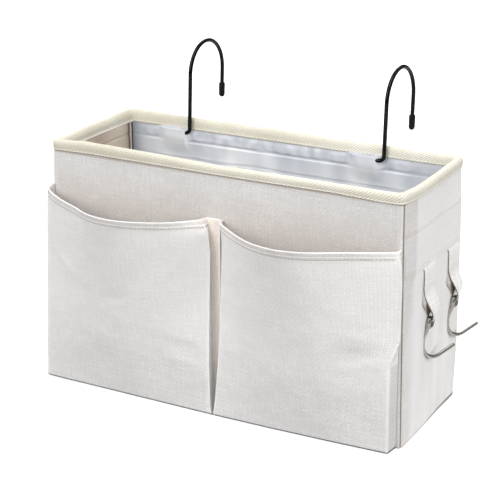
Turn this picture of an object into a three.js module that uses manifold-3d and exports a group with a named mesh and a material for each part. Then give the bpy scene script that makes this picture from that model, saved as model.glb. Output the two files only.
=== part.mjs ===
// Hanging bedside caddy: a board-stiffened canvas box with a bound rim, two bulging front pockets, a clear
// window pocket on its left end, two strap loops with wire hooks on its right end, and two rail hooks behind.
// Millimetres, +Z up. The front looks along -Y. The origin is the middle of the underside of the base.
import * as THREE from 'three';
import { mergeVertices } from 'three/addons/utils/BufferGeometryUtils.js';
import Module from 'manifold-3d';

// Body
const bodyWidth = 320;
const bodyDepth = 115;
const bodyHeight = 210;
const cornerRadius = 3;

// Plies of the walls and the floor, and the air left between two of them
const canvasPly = 1.2;
const boardPly = 2;
const liningPly = 0.8;
const plyGap = 0.3;

// Rim binding: a tape folded over the top edge
const bindingPly = 1;
const bindingOutside = 10;
const bindingInside = 8;

// Front pockets
const pocketPly = 1.2;
const pocketDrop = 44;
const pocketFoot = 0.6;
const pocketEndSetback = 1.5;
const hemHeight = 6;
const hemExtra = 0.5;
const mouthDepth = 44.2;
const floorDepth = 18.3;
const pleatFoot = 77;
const pleatTop = 93;
const dividerTopX = -3.4;
const dividerTopWidth = 12.6;
const dividerFootX = -1.5;
const dividerFootWidth = 4;

// Window pocket on the left end
const windowPly = 0.6;
const windowDrop = 63;
const windowWidth = 98;
const windowDepth = 10.5;
const windowFloorDepth = 9.6;
const windowBandHeight = 18;

// Anchor band and strap loops on the right end
const bandDrop = 33.5;
const bandHeight = 36;
const strapWidth = 24;
const strapPly = 1;
const strapSewnRun = 21;
const strapLoopDrop = 23.5;
const strapStandOff = 5.5;
const strapPinchWidth = 3.4;
const frontStrapY = -11;
const rearStrapY = 40;

// Wire hooks hanging in the strap loops
const sideWire = 1.3;
const eyeRadius = 3.8;
const eyeSweep = THREE.MathUtils.degToRad(280);
const hookTurn = THREE.MathUtils.degToRad(58.6);
const neckDrop = 14.7;
const legRun = 3.7;
const throatRadius = 12;
const throatSweep = THREE.MathUtils.degToRad(111);
const tipRun = 14.6;

// Rail hooks standing behind the compartment
const leftHookInset = 68.5;
const leftHookRise = 51.3;
const leftFreeLeg = 23;
const rightHookInset = 65;
const rightHookRise = 46.7;
const rightFreeLeg = 26;
const railWire = 1.75;
const railArchRadius = 27.5;
const railTilt = THREE.MathUtils.degToRad(3.6);
const footBend = 4;
const footShown = 8.5;
const footHidden = 16;
const footBelowRim = 11.2;
const tipCapRadius = 2.7;
const tipCapLength = 13;
const tipCapBore = 9;

// Clearances: between faces that meet, between a wire and what it runs in, and past the end of a cut
const faceGap = 0.3;
const runningGap = 0.3;
const overrun = 1;

// Facet counts
const cornerSegments = 5;
const wireSides = 10;

const wasm = await Module();
wasm.setup();

const canvas = new THREE.MeshStandardMaterial({ color: 0xe6e3df, roughness: 0.95 });
const canvasSide = new THREE.MeshStandardMaterial({ color: 0xe9e7e5, roughness: 0.95 });
const liningCloth = new THREE.MeshStandardMaterial({ color: 0xdfe3ea, roughness: 0.9 });
const bindingTape = new THREE.MeshStandardMaterial({ color: 0xe5e1d0, roughness: 0.9 });
const greyBoard = new THREE.MeshStandardMaterial({ color: 0xa99f90, roughness: 1 });
const clearVinyl = new THREE.MeshStandardMaterial({ color: 0xdfe6ea, roughness: 0.15, transparent: true, opacity: 0.4 });
const blackCoat = new THREE.MeshStandardMaterial({ color: 0x101010, roughness: 0.3, metalness: 0.2 });
const blackRubber = new THREE.MeshStandardMaterial({ color: 0x1a1a1a, roughness: 0.7 });
const nickelPlate = new THREE.MeshStandardMaterial({ color: 0xc9c6c0, roughness: 0.2, metalness: 1 });

const caddy = new THREE.Group();

function addPiece(parent, name, geometry, material) {
  const mesh = new THREE.Mesh(geometry, material);
  mesh.name = name;
  parent.add(mesh);
  return mesh;
}

// Solids for joining and cutting
function toSolid(geometry) {
  const bare = geometry.clone();
  bare.deleteAttribute('normal');
  bare.deleteAttribute('uv');
  const merged = mergeVertices(bare);
  return new wasm.Manifold(new wasm.Mesh({
    numProp: 3,
    vertProperties: new Float32Array(merged.attributes.position.array),
    triVerts: new Uint32Array(merged.index.array),
  }));
}

function toGeometry(solid) {
  const mesh = solid.getMesh();
  const geometry = new THREE.BufferGeometry();
  geometry.setAttribute('position', new THREE.BufferAttribute(mesh.vertProperties, mesh.numProp));
  geometry.setIndex(new THREE.BufferAttribute(mesh.triVerts, 1));
  geometry.computeVertexNormals();
  return geometry;
}

// Prism between two heights over an outline drawn in plan
function prism(shape, low, high) {
  const geometry = new THREE.ExtrudeGeometry(shape, {
    depth: high - low,
    bevelEnabled: false,
    curveSegments: cornerSegments,
  });
  return geometry.translate(0, 0, low);
}

// Prism whose outline is drawn as x and z, running along y
function crossPrism(shape, low, high) {
  const geometry = new THREE.ExtrudeGeometry(shape, {
    depth: high - low,
    bevelEnabled: false,
    curveSegments: cornerSegments,
  });
  return geometry.rotateX(Math.PI / 2).translate(0, high, 0);
}

// Prism whose outline is drawn as y and z, running along x
function lengthwisePrism(shape, low, high) {
  const geometry = new THREE.ExtrudeGeometry(shape, {
    depth: high - low,
    bevelEnabled: false,
    curveSegments: cornerSegments,
  });
  return geometry.rotateX(Math.PI / 2).rotateZ(Math.PI / 2).translate(low, 0, 0);
}

function roundedRectangle(halfX, halfY, radius) {
  const shape = new THREE.Shape();
  shape.moveTo(-halfX + radius, -halfY);
  shape.lineTo(halfX - radius, -halfY);
  shape.absarc(halfX - radius, -halfY + radius, radius, -Math.PI / 2, 0);
  shape.lineTo(halfX, halfY - radius);
  shape.absarc(halfX - radius, halfY - radius, radius, 0, Math.PI / 2);
  shape.lineTo(-halfX + radius, halfY);
  shape.absarc(-halfX + radius, halfY - radius, radius, Math.PI / 2, Math.PI);
  shape.lineTo(-halfX, -halfY + radius);
  shape.absarc(-halfX + radius, -halfY + radius, radius, Math.PI, Math.PI * 1.5);
  return shape;
}

// Plan of one sewn wall seen from above: it faces -Y at the given reach and turns half of each corner
function wallPlan(length, reach, ply) {
  const inner = cornerRadius - ply;
  const trim = faceGap / 2 / inner;
  const turn = Math.PI / 4 - trim;
  const centreX = length / 2 - cornerRadius;
  const centreY = -reach + cornerRadius;
  const down = -Math.PI / 2;
  const shape = new THREE.Shape();
  shape.absarc(-centreX, centreY, cornerRadius, down - turn, down, false);
  shape.absarc(centreX, centreY, cornerRadius, down, down + turn, false);
  shape.absarc(centreX, centreY, inner, down + turn, down, true);
  shape.absarc(-centreX, centreY, inner, down, down - turn, true);
  shape.closePath();
  return shape;
}

// Heights that hang from the rim
const pocketTop = bodyHeight - pocketDrop;
const windowHeight = bodyHeight - windowDrop;
const bandFoot = bodyHeight - bandDrop - bandHeight;

// Depths of the plies, counted inwards from the outer face of the body
const boardDepth = canvasPly + plyGap;
const liningDepth = boardDepth + boardPly + plyGap;
const wallThickness = liningDepth + liningPly;
const wallFoot = canvasPly + plyGap;
const wallTop = bodyHeight - bindingPly - plyGap;
const innerFoot = wallFoot + boardPly + plyGap;
const liningFoot = innerFoot + liningPly + plyGap;

// The four ends of the box: each wall is drawn facing -Y and turned to its side
const sides = [
  { name: 'front', length: bodyWidth, reach: bodyDepth / 2, turn: 0, cloth: canvas },
  { name: 'right', length: bodyDepth, reach: bodyWidth / 2, turn: Math.PI / 2, cloth: canvasSide },
  { name: 'back', length: bodyWidth, reach: bodyDepth / 2, turn: Math.PI, cloth: canvas },
  { name: 'left', length: bodyDepth, reach: bodyWidth / 2, turn: -Math.PI / 2, cloth: canvasSide },
];

// Canvas walls, sewn at the corners
for (const side of sides) {
  const shell = prism(wallPlan(side.length, side.reach, canvasPly), wallFoot, wallTop);
  addPiece(caddy, `${side.name}_canvas`, shell, side.cloth).rotation.z = side.turn;
}
addPiece(caddy, 'base_canvas', prism(roundedRectangle(bodyWidth / 2, bodyDepth / 2, cornerRadius), 0, canvasPly), canvas);

// Boards between canvas and lining: the long ones run to the corners, the short ones stand between them
for (const side of sides) {
  const long = side.length === bodyWidth;
  const length = side.length - 2 * (long ? cornerRadius : liningDepth);
  const board = new THREE.BoxGeometry(length, boardPly, wallTop - innerFoot);
  board.translate(0, -side.reach + boardDepth + boardPly / 2, (wallTop + innerFoot) / 2);
  addPiece(caddy, `${side.name}_board`, board, greyBoard).rotation.z = side.turn;
}
const baseBoard = roundedRectangle(bodyWidth / 2 - boardDepth, bodyDepth / 2 - boardDepth, cornerRadius - boardDepth);
addPiece(caddy, 'base_board', prism(baseBoard, wallFoot, wallFoot + boardPly), greyBoard);

// Lining: four walls and a floor. The back wall carries two sleeves that hold the feet of the rail hooks
const liningFace = bodyDepth / 2 - wallThickness;
const bindingInnerFace = liningFace - plyGap - bindingPly;
const footHeight = bodyHeight - footBelowRim;
const footY = bindingInnerFace - faceGap - railWire / Math.cos(railTilt) - footBelowRim * Math.tan(railTilt);
const sleeveBore = railWire + runningGap;
const sleeveRadius = sleeveBore + liningPly;
const railHooks = {
  left: { x: -bodyWidth / 2 + leftHookInset, rise: leftHookRise, freeLeg: leftFreeLeg },
  right: { x: bodyWidth / 2 - rightHookInset, rise: rightHookRise, freeLeg: rightFreeLeg },
};

function footSleeve(hookX) {
  const high = hookX - footShown;
  const low = high - footHidden;
  const outline = new THREE.Shape();
  outline.moveTo(liningFace + liningPly / 2, footHeight + sleeveRadius);
  outline.lineTo(footY, footHeight + sleeveRadius);
  outline.absarc(footY, footHeight, sleeveRadius, Math.PI / 2, Math.PI * 1.5, false);
  outline.lineTo(liningFace + liningPly / 2, footHeight - sleeveRadius);
  outline.closePath();
  const bore = new THREE.Shape().absarc(footY, footHeight, sleeveBore, 0, Math.PI * 2, false);
  return {
    tunnel: toSolid(lengthwisePrism(outline, low, high)),
    bore: toSolid(lengthwisePrism(bore, low - overrun, high + overrun)),
  };
}

for (const side of sides) {
  const plan = wallPlan(side.length - 2 * liningDepth, side.reach - liningDepth, liningPly);
  let lining = prism(plan, liningFoot, wallTop).rotateZ(side.turn);
  if (side.name === 'back') {
    let wall = toSolid(lining);
    for (const hook of Object.values(railHooks)) {
      const sleeve = footSleeve(hook.x);
      wall = wall.add(sleeve.tunnel).subtract(sleeve.bore);
    }
    lining = toGeometry(wall);
  }
  addPiece(caddy, `${side.name}_lining`, lining, liningCloth);
}
const liningFloor = roundedRectangle(bodyWidth / 2 - liningDepth, bodyDepth / 2 - liningDepth, cornerRadius - liningPly);
addPiece(caddy, 'base_lining', prism(liningFloor, innerFoot, innerFoot + liningPly), liningCloth);

// Rim binding: one tape folded over the walls, with a longer outside leg
function bindingSolid() {
  const outside = plyGap + bindingPly;
  const outline = roundedRectangle(bodyWidth / 2 + outside, bodyDepth / 2 + outside, cornerRadius + outside);
  const hollowInset = wallThickness + plyGap + bindingPly;
  outline.holes.push(roundedRectangle(bodyWidth / 2 - hollowInset, bodyDepth / 2 - hollowInset, bindingPly));
  const channel = roundedRectangle(bodyWidth / 2 + plyGap, bodyDepth / 2 + plyGap, cornerRadius + plyGap);
  const channelInset = wallThickness + plyGap;
  channel.holes.push(roundedRectangle(bodyWidth / 2 - channelInset, bodyDepth / 2 - channelInset, 2 * bindingPly));
  const insideFoot = roundedRectangle(bodyWidth / 2, bodyDepth / 2, cornerRadius);
  const foot = bodyHeight - bindingOutside;
  return toSolid(prism(outline, foot, bodyHeight))
    .subtract(toSolid(prism(channel, foot - overrun, bodyHeight - bindingPly)))
    .subtract(toSolid(prism(insideFoot, foot - overrun, bodyHeight - bindingInside)));
}
addPiece(caddy, 'rim_binding', toGeometry(bindingSolid()), bindingTape);

// Loft through level rings that hold the same number of points
function loft(rings) {
  const count = rings[0].length;
  const positions = rings.flat().flatMap((point) => [point.x, point.y, point.z]);
  const index = [];
  for (let ring = 0; ring + 1 < rings.length; ring += 1) {
    for (let step = 0; step < count; step += 1) {
      const next = (step + 1) % count;
      const low = ring * count;
      const high = low + count;
      index.push(low + step, low + next, high + next, low + step, high + next, high + step);
    }
  }
  const cap = THREE.ShapeUtils.triangulateShape(rings[0].map((point) => new THREE.Vector2(point.x, point.y)), []);
  const last = (rings.length - 1) * count;
  for (const [a, b, c] of cap) {
    index.push(a, c, b, last + a, last + b, last + c);
  }
  const geometry = new THREE.BufferGeometry();
  geometry.setAttribute('position', new THREE.Float32BufferAttribute(positions, 3));
  geometry.setIndex(index);
  return geometry;
}

// Plans of the pockets from end to end, as shares of their width and depth. The first and the last leg are the
// pleats that bring the cloth forward from its side seams
const leftMouthShares = [
  [0, 0], [-0.017, 0.15], [0.144, 0.45], [0.263, 0.663], [0.356, 0.845], [0.453, 0.965], [0.552, 1],
  [0.67, 0.937], [0.785, 0.774], [0.871, 0.609], [0.95, 0.357], [0.987, 0.215], [1, 0],
];
const leftFootShares = [
  [0, 0], [-0.02, 0.96], [0.08, 0.99], [0.18, 0.98], [0.28, 0.98], [0.38, 0.98], [0.48, 0.985],
  [0.58, 0.99], [0.68, 0.99], [0.78, 0.995], [0.9, 1], [1.025, 1], [1, 0],
];
const rightMouthShares = [
  [0, 0], [0.023, 0.198], [0.077, 0.352], [0.166, 0.586], [0.244, 0.765], [0.321, 0.89], [0.406, 0.97],
  [0.489, 0.99], [0.587, 0.92], [0.688, 0.74], [0.795, 0.523], [0.978, 0.13], [1, 0],
];
const rightFootShares = [
  [0, 0], [0.017, 1], [0.1, 0.99], [0.19, 0.975], [0.28, 0.96], [0.37, 0.94], [0.46, 0.91],
  [0.55, 0.88], [0.65, 0.85], [0.75, 0.81], [0.86, 0.76], [0.98, 0.7], [1, 0],
];
const windowMouthShares = [
  [0, 0], [0.005, 0.3], [0.03, 0.6], [0.08, 0.8], [0.18, 0.93], [0.32, 0.985], [0.5, 1],
  [0.68, 0.985], [0.82, 0.93], [0.92, 0.8], [0.97, 0.6], [0.995, 0.3], [1, 0],
];
const windowFootShares = [
  [0, 0], [0, 0.6], [0.015, 0.9], [0.05, 1], [0.2, 1], [0.35, 1], [0.5, 1],
  [0.65, 1], [0.8, 1], [0.95, 1], [0.985, 0.9], [1, 0.6], [1, 0],
];
const levelShares = [0.16, 0.32, 0.46, 0.51, 0.56, 0.7, 0.85];

// Plan of a pocket at one height: x along its width and y as the distance it stands out
function pocketPlan(pocket, z) {
  const rise = THREE.MathUtils.clamp((z - pocket.foot) / (pocket.top - pocket.foot), 0, 1);
  const placed = ([low, high], depth, [across, out]) => new THREE.Vector2(low + (high - low) * across, depth * out);
  const seamShare = rise ** pocket.seamPower;
  const span = pocket.footSpan.map((foot, side) => THREE.MathUtils.lerp(foot, pocket.mouthSpan[side], seamShare));
  const corner = pocket.mouthShares.length - 2;
  const points = pocket.mouthShares.map((share, place) => {
    const pleated = pocket.pleated && place === corner;
    const blend = pleated ? THREE.MathUtils.smoothstep(z, pleatFoot, pleatTop) : rise ** pocket.bellyPower;
    const mouth = placed(span, pocket.mouthDepth, share);
    return placed(span, pocket.floorDepth, pocket.footShares[place]).lerp(mouth, blend);
  });
  const belly = new THREE.SplineCurve(points.slice(1, -1)).getPoints(2 * (corner - 1));
  return [points[0], ...belly, points[corner + 1]];
}

// The same plan moved inwards, square to its own line
function insetPlan(plan, inset) {
  return plan.map((point, place) => {
    const arriving = point.clone().sub(plan[Math.max(place - 1, 0)]).normalize();
    const leaving = plan[Math.min(place + 1, plan.length - 1)].clone().sub(point).normalize();
    const heading = arriving.clone().add(leaving).normalize();
    const mitre = Math.max(heading.dot(arriving), heading.dot(leaving));
    return new THREE.Vector2(heading.y, -heading.x).multiplyScalar(inset / mitre).add(point);
  });
}

// A pocket that faces -Y, as one body between two heights. A room is cut through the seam behind it
function pocketSolid(pocket, inset, low, high, room) {
  const between = levelShares.map((share) => THREE.MathUtils.lerp(pocket.foot, pocket.top, share));
  const heights = [low, ...between.filter((z) => z > low + overrun && z < high - overrun), high];
  const rings = heights.map((z) => {
    const plan = insetPlan(pocketPlan(pocket, z), inset);
    const ring = plan.map((point) => new THREE.Vector3(point.x, pocket.front - point.y, z));
    if (room) {
      const back = pocket.front + 2 * overrun;
      ring.unshift(new THREE.Vector3(ring[0].x, back, z));
      ring.push(new THREE.Vector3(ring[ring.length - 1].x, back, z));
    }
    return ring;
  });
  return toSolid(loft(rings));
}

function sewnPocket(pocket, ply) {
  const shell = pocketSolid(pocket, 0, pocket.foot, pocket.top, false);
  return shell.subtract(pocketSolid(pocket, ply, pocket.foot + ply, pocket.top + overrun, true));
}

// Front pockets and the flat strip between them. The hem is turned over once more along each mouth
const pocketFace = -bodyDepth / 2 - faceGap;
const pocketEnd = bodyWidth / 2 - pocketEndSetback;
const pocketShape = {
  foot: pocketFoot,
  top: pocketTop,
  front: pocketFace,
  mouthDepth,
  floorDepth,
  bellyPower: 1.15,
  seamPower: 0.4,
};
const frontPockets = {
  left: {
    ...pocketShape,
    footSpan: [-pocketEnd, dividerFootX - dividerFootWidth / 2],
    mouthSpan: [-pocketEnd, dividerTopX - dividerTopWidth / 2],
    footShares: leftFootShares,
    mouthShares: leftMouthShares,
    pleated: false,
  },
  right: {
    ...pocketShape,
    footSpan: [dividerFootX + dividerFootWidth / 2, pocketEnd],
    mouthSpan: [dividerTopX + dividerTopWidth / 2, pocketEnd],
    footShares: rightFootShares,
    mouthShares: rightMouthShares,
    pleated: true,
  },
};
for (const [name, pocket] of Object.entries(frontPockets)) {
  const hemFoot = pocket.top - hemHeight;
  const hem = pocketSolid(pocket, -hemExtra, hemFoot, pocket.top, false)
    .subtract(pocketSolid(pocket, pocketPly / 2, hemFoot - overrun, pocket.top + overrun, true));
  addPiece(caddy, `front_pocket_${name}`, toGeometry(sewnPocket(pocket, pocketPly).add(hem)), canvas);
}

// The strip follows both pockets down at a clearance, from level to level
const dividerClear = hemExtra + faceGap;
function dividerEdge(side) {
  return [0, ...levelShares, 1].map((share) => {
    const foot = dividerFootX + side * dividerFootWidth / 2;
    const mouth = dividerTopX + side * dividerTopWidth / 2;
    const x = THREE.MathUtils.lerp(foot, mouth, share ** pocketShape.seamPower) - side * dividerClear;
    return new THREE.Vector2(x, THREE.MathUtils.lerp(pocketFoot, pocketTop, share));
  });
}
const dividerOutline = new THREE.Shape([...dividerEdge(1), ...dividerEdge(-1).reverse()]);
addPiece(caddy, 'pocket_divider', crossPrism(dividerOutline, pocketFace - pocketPly, pocketFace), canvas);

// Window pocket on the left end: a clear sheet with a fabric band over its mouth
const windowPocket = {
  foot: pocketFoot,
  top: windowHeight,
  front: -bodyWidth / 2 - faceGap,
  mouthDepth: windowDepth,
  floorDepth: windowFloorDepth,
  bellyPower: 1,
  seamPower: 1,
  footSpan: [-windowWidth / 2, windowWidth / 2],
  mouthSpan: [-windowWidth / 2, windowWidth / 2],
  footShares: windowFootShares,
  mouthShares: windowMouthShares,
  pleated: false,
};
const leftTurn = -Math.PI / 2;
addPiece(caddy, 'side_pocket_window', toGeometry(sewnPocket(windowPocket, windowPly)), clearVinyl).rotation.z = leftTurn;

function windowBandSolid() {
  const foot = windowHeight - windowBandHeight;
  const top = windowHeight + faceGap + windowPly;
  const skin = pocketSolid(windowPocket, -faceGap - windowPly, foot, top, false);
  const seat = pocketSolid(windowPocket, -faceGap, foot - overrun, windowHeight + faceGap, true);
  const mouth = pocketSolid(windowPocket, windowPly, foot - overrun, top + overrun, true);
  return skin.subtract(seat).subtract(mouth);
}
addPiece(caddy, 'side_pocket_band', toGeometry(windowBandSolid()), canvasSide).rotation.z = leftTurn;

// Anchor band across the right end, with the two straps sewn in under its lower edge
const rightFace = bodyWidth / 2 + faceGap;
const bandEnd = bodyDepth / 2 - cornerRadius;
const bandPlan = new THREE.Shape();
bandPlan.moveTo(rightFace, -bandEnd);
bandPlan.lineTo(rightFace + canvasPly, -bandEnd);
bandPlan.lineTo(rightFace + canvasPly, bandEnd);
bandPlan.lineTo(rightFace, bandEnd);
bandPlan.closePath();
addPiece(caddy, 'strap_anchor_band', prism(bandPlan, bandFoot, bandFoot + bandHeight), canvasSide);

// Strap loop: its side view is a sewn run over a teardrop, and its front view narrows to the pinch in the eye
const strapTop = bandFoot - faceGap;
const loopTop = strapTop - strapSewnRun;
const pivotX = bodyWidth / 2 + strapStandOff;
const pivotZ = loopTop - strapLoopDrop;
const eyeSag = eyeRadius - Math.sqrt(eyeRadius ** 2 - (strapPinchWidth / 2) ** 2);
const foldInner = sideWire + runningGap + eyeSag;
const foldOuter = foldInner + strapPly;
const sewnThickness = 2 * strapPly;
const easeShare = 0.45;

function strapSideView() {
  const ease = strapLoopDrop * easeShare;
  const outer = rightFace + sewnThickness;
  const split = rightFace + sewnThickness / 2;
  const shape = new THREE.Shape();
  shape.moveTo(rightFace, strapTop);
  shape.lineTo(rightFace, loopTop);
  shape.bezierCurveTo(rightFace, loopTop - ease, pivotX - foldOuter, pivotZ + ease, pivotX - foldOuter, pivotZ);
  shape.absarc(pivotX, pivotZ, foldOuter, Math.PI, Math.PI * 2, false);
  shape.bezierCurveTo(pivotX + foldOuter, pivotZ + ease, outer, loopTop - ease, outer, loopTop);
  shape.lineTo(outer, strapTop);
  shape.closePath();
  const eye = new THREE.Path();
  const eyeTop = loopTop - strapPly;
  eye.moveTo(split, eyeTop);
  eye.bezierCurveTo(split, eyeTop - ease, pivotX - foldInner, pivotZ + ease, pivotX - foldInner, pivotZ);
  eye.absarc(pivotX, pivotZ, foldInner, Math.PI, Math.PI * 2, false);
  eye.bezierCurveTo(pivotX + foldInner, pivotZ + ease, split, eyeTop - ease, split, eyeTop);
  shape.holes.push(eye);
  return shape;
}

function strapFrontView(strapY) {
  const half = strapWidth / 2;
  const pinch = strapPinchWidth / 2;
  const pinchTop = pivotZ + sideWire + 2 * runningGap;
  const shoulder = half - pinch;
  const shape = new THREE.Shape();
  shape.moveTo(strapY - half, strapTop + overrun);
  shape.lineTo(strapY - half, pinchTop + shoulder);
  shape.absarc(strapY - pinch, pinchTop + shoulder, shoulder, Math.PI, Math.PI * 1.5, false);
  shape.lineTo(strapY - pinch, pivotZ - foldOuter - overrun);
  shape.lineTo(strapY + pinch, pivotZ - foldOuter - overrun);
  shape.lineTo(strapY + pinch, pinchTop);
  shape.absarc(strapY + pinch, pinchTop + shoulder, shoulder, Math.PI * 1.5, Math.PI * 2, false);
  shape.lineTo(strapY + half, strapTop + overrun);
  shape.closePath();
  return shape;
}

function strapSolid(strapY) {
  const loop = toSolid(crossPrism(strapSideView(), strapY - strapWidth / 2, strapY + strapWidth / 2));
  const reach = strapStandOff + foldOuter + overrun;
  return loop.intersect(toSolid(lengthwisePrism(strapFrontView(strapY), bodyWidth / 2, bodyWidth / 2 + reach)));
}

// A bent wire: its centre line is drawn by runs, arcs and bends, with a ring of the section at each point
class WirePath extends THREE.Curve {
  constructor(start) {
    super();
    this.points = [start];
  }

  get last() {
    return this.points[this.points.length - 1];
  }

  run(vector) {
    this.points.push(this.last.clone().add(vector));
    return this;
  }

  arc(centre, axis, angle, steps) {
    const arm = this.last.clone().sub(centre);
    for (let step = 1; step <= steps; step += 1) {
      this.points.push(arm.clone().applyAxisAngle(axis, angle * step / steps).add(centre));
    }
    return this;
  }

  bend(first, second, end, steps) {
    const curve = new THREE.CubicBezierCurve3(this.last, first, second, end);
    this.points.push(...curve.getPoints(steps).slice(1));
    return this;
  }

  getPoint(share) {
    const place = share * (this.points.length - 1);
    const low = Math.min(Math.floor(place), this.points.length - 2);
    return this.points[low].clone().lerp(this.points[low + 1], place - low);
  }

  getPointAt(share) {
    return this.getPoint(share);
  }

  getTangentAt(share) {
    const place = Math.round(share * (this.points.length - 1));
    const before = this.points[Math.max(place - 1, 0)];
    const here = this.points[place];
    const after = this.points[Math.min(place + 1, this.points.length - 1)];
    const arriving = here.clone().sub(before).normalize();
    const leaving = after.clone().sub(here).normalize();
    return arriving.add(leaving).normalize();
  }
}

function wireGeometry(path, radius) {
  const section = new THREE.Shape().absarc(0, 0, radius, 0, Math.PI * 2, false);
  return new THREE.ExtrudeGeometry(section, {
    steps: path.points.length - 1,
    curveSegments: wireSides,
    extrudePath: path,
  });
}

const alongX = new THREE.Vector3(1, 0, 0);
const alongY = new THREE.Vector3(0, 1, 0);
const alongZ = new THREE.Vector3(0, 0, 1);

// Side hook, drawn from its pivot: an eye across the strap, whose side runs down into a leg beside the wall, and a
// throat that opens away from it in an upright plane, turned from the wall's own direction
const legOffset = (strapStandOff - sideWire - faceGap) / Math.cos(hookTurn);

function sideHookSolid() {
  const eyeCentre = new THREE.Vector3(0, 0, -eyeRadius);
  const side = new THREE.Vector3(0, -eyeRadius, 0);
  const path = new WirePath(side.clone().applyAxisAngle(alongX, -eyeSweep).add(eyeCentre));
  path.arc(eyeCentre, alongX, eyeSweep, 18);
  const away = new THREE.Vector3(Math.cos(hookTurn), Math.sin(hookTurn), 0);
  const legTop = new THREE.Vector3(0, 0, path.last.z - neckDrop).addScaledVector(away, -legOffset);
  const slack = new THREE.Vector3(0, 0, neckDrop / 3);
  path.bend(path.last.clone().sub(slack), legTop.clone().add(slack), legTop, 8);
  path.run(new THREE.Vector3(0, 0, -legRun));
  const across = new THREE.Vector3().crossVectors(alongZ, away);
  path.arc(path.last.clone().addScaledVector(away, throatRadius), across, -throatSweep, 12);
  path.run(new THREE.Vector3(0, 0, -tipRun).applyAxisAngle(across, -throatSweep));
  return toSolid(wireGeometry(path, sideWire));
}

const sideHookGeometry = toGeometry(sideHookSolid());
for (const [name, strapY] of Object.entries({ front: frontStrapY, rear: rearStrapY })) {
  addPiece(caddy, `hook_strap_${name}`, toGeometry(strapSolid(strapY)), canvasSide);
  addPiece(caddy, `side_hook_${name}`, sideHookGeometry, nickelPlate).position.set(pivotX, strapY, pivotZ);
}

// Rail hook, drawn from the axis of its foot: foot, shaft, arch over the rail, and a free leg with a rubber tip
function railHookPath(hook) {
  const path = new WirePath(new THREE.Vector3(-footShown - footHidden + runningGap, 0, 0));
  path.run(new THREE.Vector3(footShown + footHidden - runningGap - footBend, 0, 0));
  path.arc(new THREE.Vector3(-footBend, 0, footBend), alongY, -Math.PI / 2, 5);
  path.run(new THREE.Vector3(0, 0, hook.rise - footBend));
  path.arc(new THREE.Vector3(0, railArchRadius, hook.rise), alongX, -Math.PI, 18);
  path.run(new THREE.Vector3(0, 0, -hook.freeLeg));
  return path;
}

// Rubber tip: a blind bore round the end of the wire, and a rounded nose
function tipCapGeometry() {
  const bore = railWire + runningGap;
  const profile = new THREE.Path();
  profile.moveTo(0, -tipCapLength + tipCapBore);
  profile.absarc(0, -tipCapLength + tipCapBore + tipCapRadius, tipCapRadius, -Math.PI / 2, 0, false);
  profile.lineTo(tipCapRadius, tipCapBore);
  profile.lineTo(bore, tipCapBore);
  profile.lineTo(bore, -faceGap);
  profile.lineTo(0, -faceGap);
  const lathe = new THREE.LatheGeometry(profile.getPoints(cornerSegments), 16);
  return lathe.rotateX(Math.PI / 2);
}

for (const [name, hook] of Object.entries(railHooks)) {
  const pivot = new THREE.Group();
  pivot.position.set(hook.x, footY, footHeight);
  pivot.rotation.x = -railTilt;
  addPiece(pivot, `rail_hook_${name}`, wireGeometry(railHookPath(hook), railWire), blackCoat);
  const tip = addPiece(pivot, `rail_hook_tip_${name}`, tipCapGeometry(), blackRubber);
  tip.position.set(0, 2 * railArchRadius, hook.rise - hook.freeLeg);
  caddy.add(pivot);
}

export default caddy;
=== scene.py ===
import math

import bpy
import numpy as np
from mathutils import Matrix, Vector, noise


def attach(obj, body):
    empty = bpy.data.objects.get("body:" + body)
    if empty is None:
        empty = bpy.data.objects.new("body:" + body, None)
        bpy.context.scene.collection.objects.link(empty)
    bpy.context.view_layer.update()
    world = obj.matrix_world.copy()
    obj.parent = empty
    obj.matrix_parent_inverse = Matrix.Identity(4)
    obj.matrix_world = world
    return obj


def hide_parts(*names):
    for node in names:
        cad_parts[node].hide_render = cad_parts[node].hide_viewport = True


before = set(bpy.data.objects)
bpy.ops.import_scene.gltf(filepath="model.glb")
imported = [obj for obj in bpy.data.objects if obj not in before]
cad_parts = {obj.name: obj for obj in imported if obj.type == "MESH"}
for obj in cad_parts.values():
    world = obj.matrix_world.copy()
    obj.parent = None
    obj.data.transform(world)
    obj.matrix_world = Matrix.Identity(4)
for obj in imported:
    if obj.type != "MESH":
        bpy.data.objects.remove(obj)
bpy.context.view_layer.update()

# Canvas box
# Four walls of off-white linen canvas, sewn to one another at the upright corners and held flat by boards.
# The cloth wraps softly round each corner, sinks at the seam, and sags a little between the seams.
MM = 0.001
body_width, body_depth, body_height = 320 * MM, 115 * MM, 210 * MM
half_width, half_depth = body_width / 2, body_depth / 2
corner_radius = 3 * MM
canvas_ply = 1.2 * MM
wall_foot, wall_top = 1.0 * MM, 206.5 * MM
seam_turn, seam_spread = 36, 10  # degrees round the corner, from the end wall
seam_sink, panel_sag, panel_wave = 0.55 * MM, 0.5 * MM, 0.45 * MM
bow_fade = 25 * MM  # length of the front and back over which the bow of an end dies away
end_crease_y = -36.5 * MM  # an upright crease in the right end, near its front corner
pocket_top, pocket_shadow = 166 * MM, 26 * MM
linen_hex, linen_shade_hex = "#efeeed", "#d3d1cf"
# Colours painted on the cloth for light and shade: a warm painted shade, a pale painted highlight and a deep
# painted shade
linen_painted_shade_hex, painted_highlight_hex, painted_deep_shade_hex = "#d6c8bd", "#fbfaf8", "#525861"
thread_pitch = 2.1 * MM  # the real threads are about 0.6 mm apart, drawn coarser so that they show
thread_depth, slub_length = 0.16 * MM, 11 * MM


def node(tree, kind, settings=None, links=None):
    made = tree.nodes.new(kind)
    for name, value in (settings or {}).items():
        setattr(made, name, value)
    for name, value in (links or {}).items():
        socket = made.inputs[name]
        if isinstance(value, bpy.types.NodeSocket):
            tree.links.new(value, socket)
        else:
            socket.default_value = value
    return made


def linear(code):
    parts = [int(code[i:i + 2], 16) / 255 for i in (1, 3, 5)]
    return tuple(p / 12.92 if p <= 0.04045 else ((p + 0.055) / 1.055) ** 2.4 for p in parts) + (1.0,)


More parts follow.
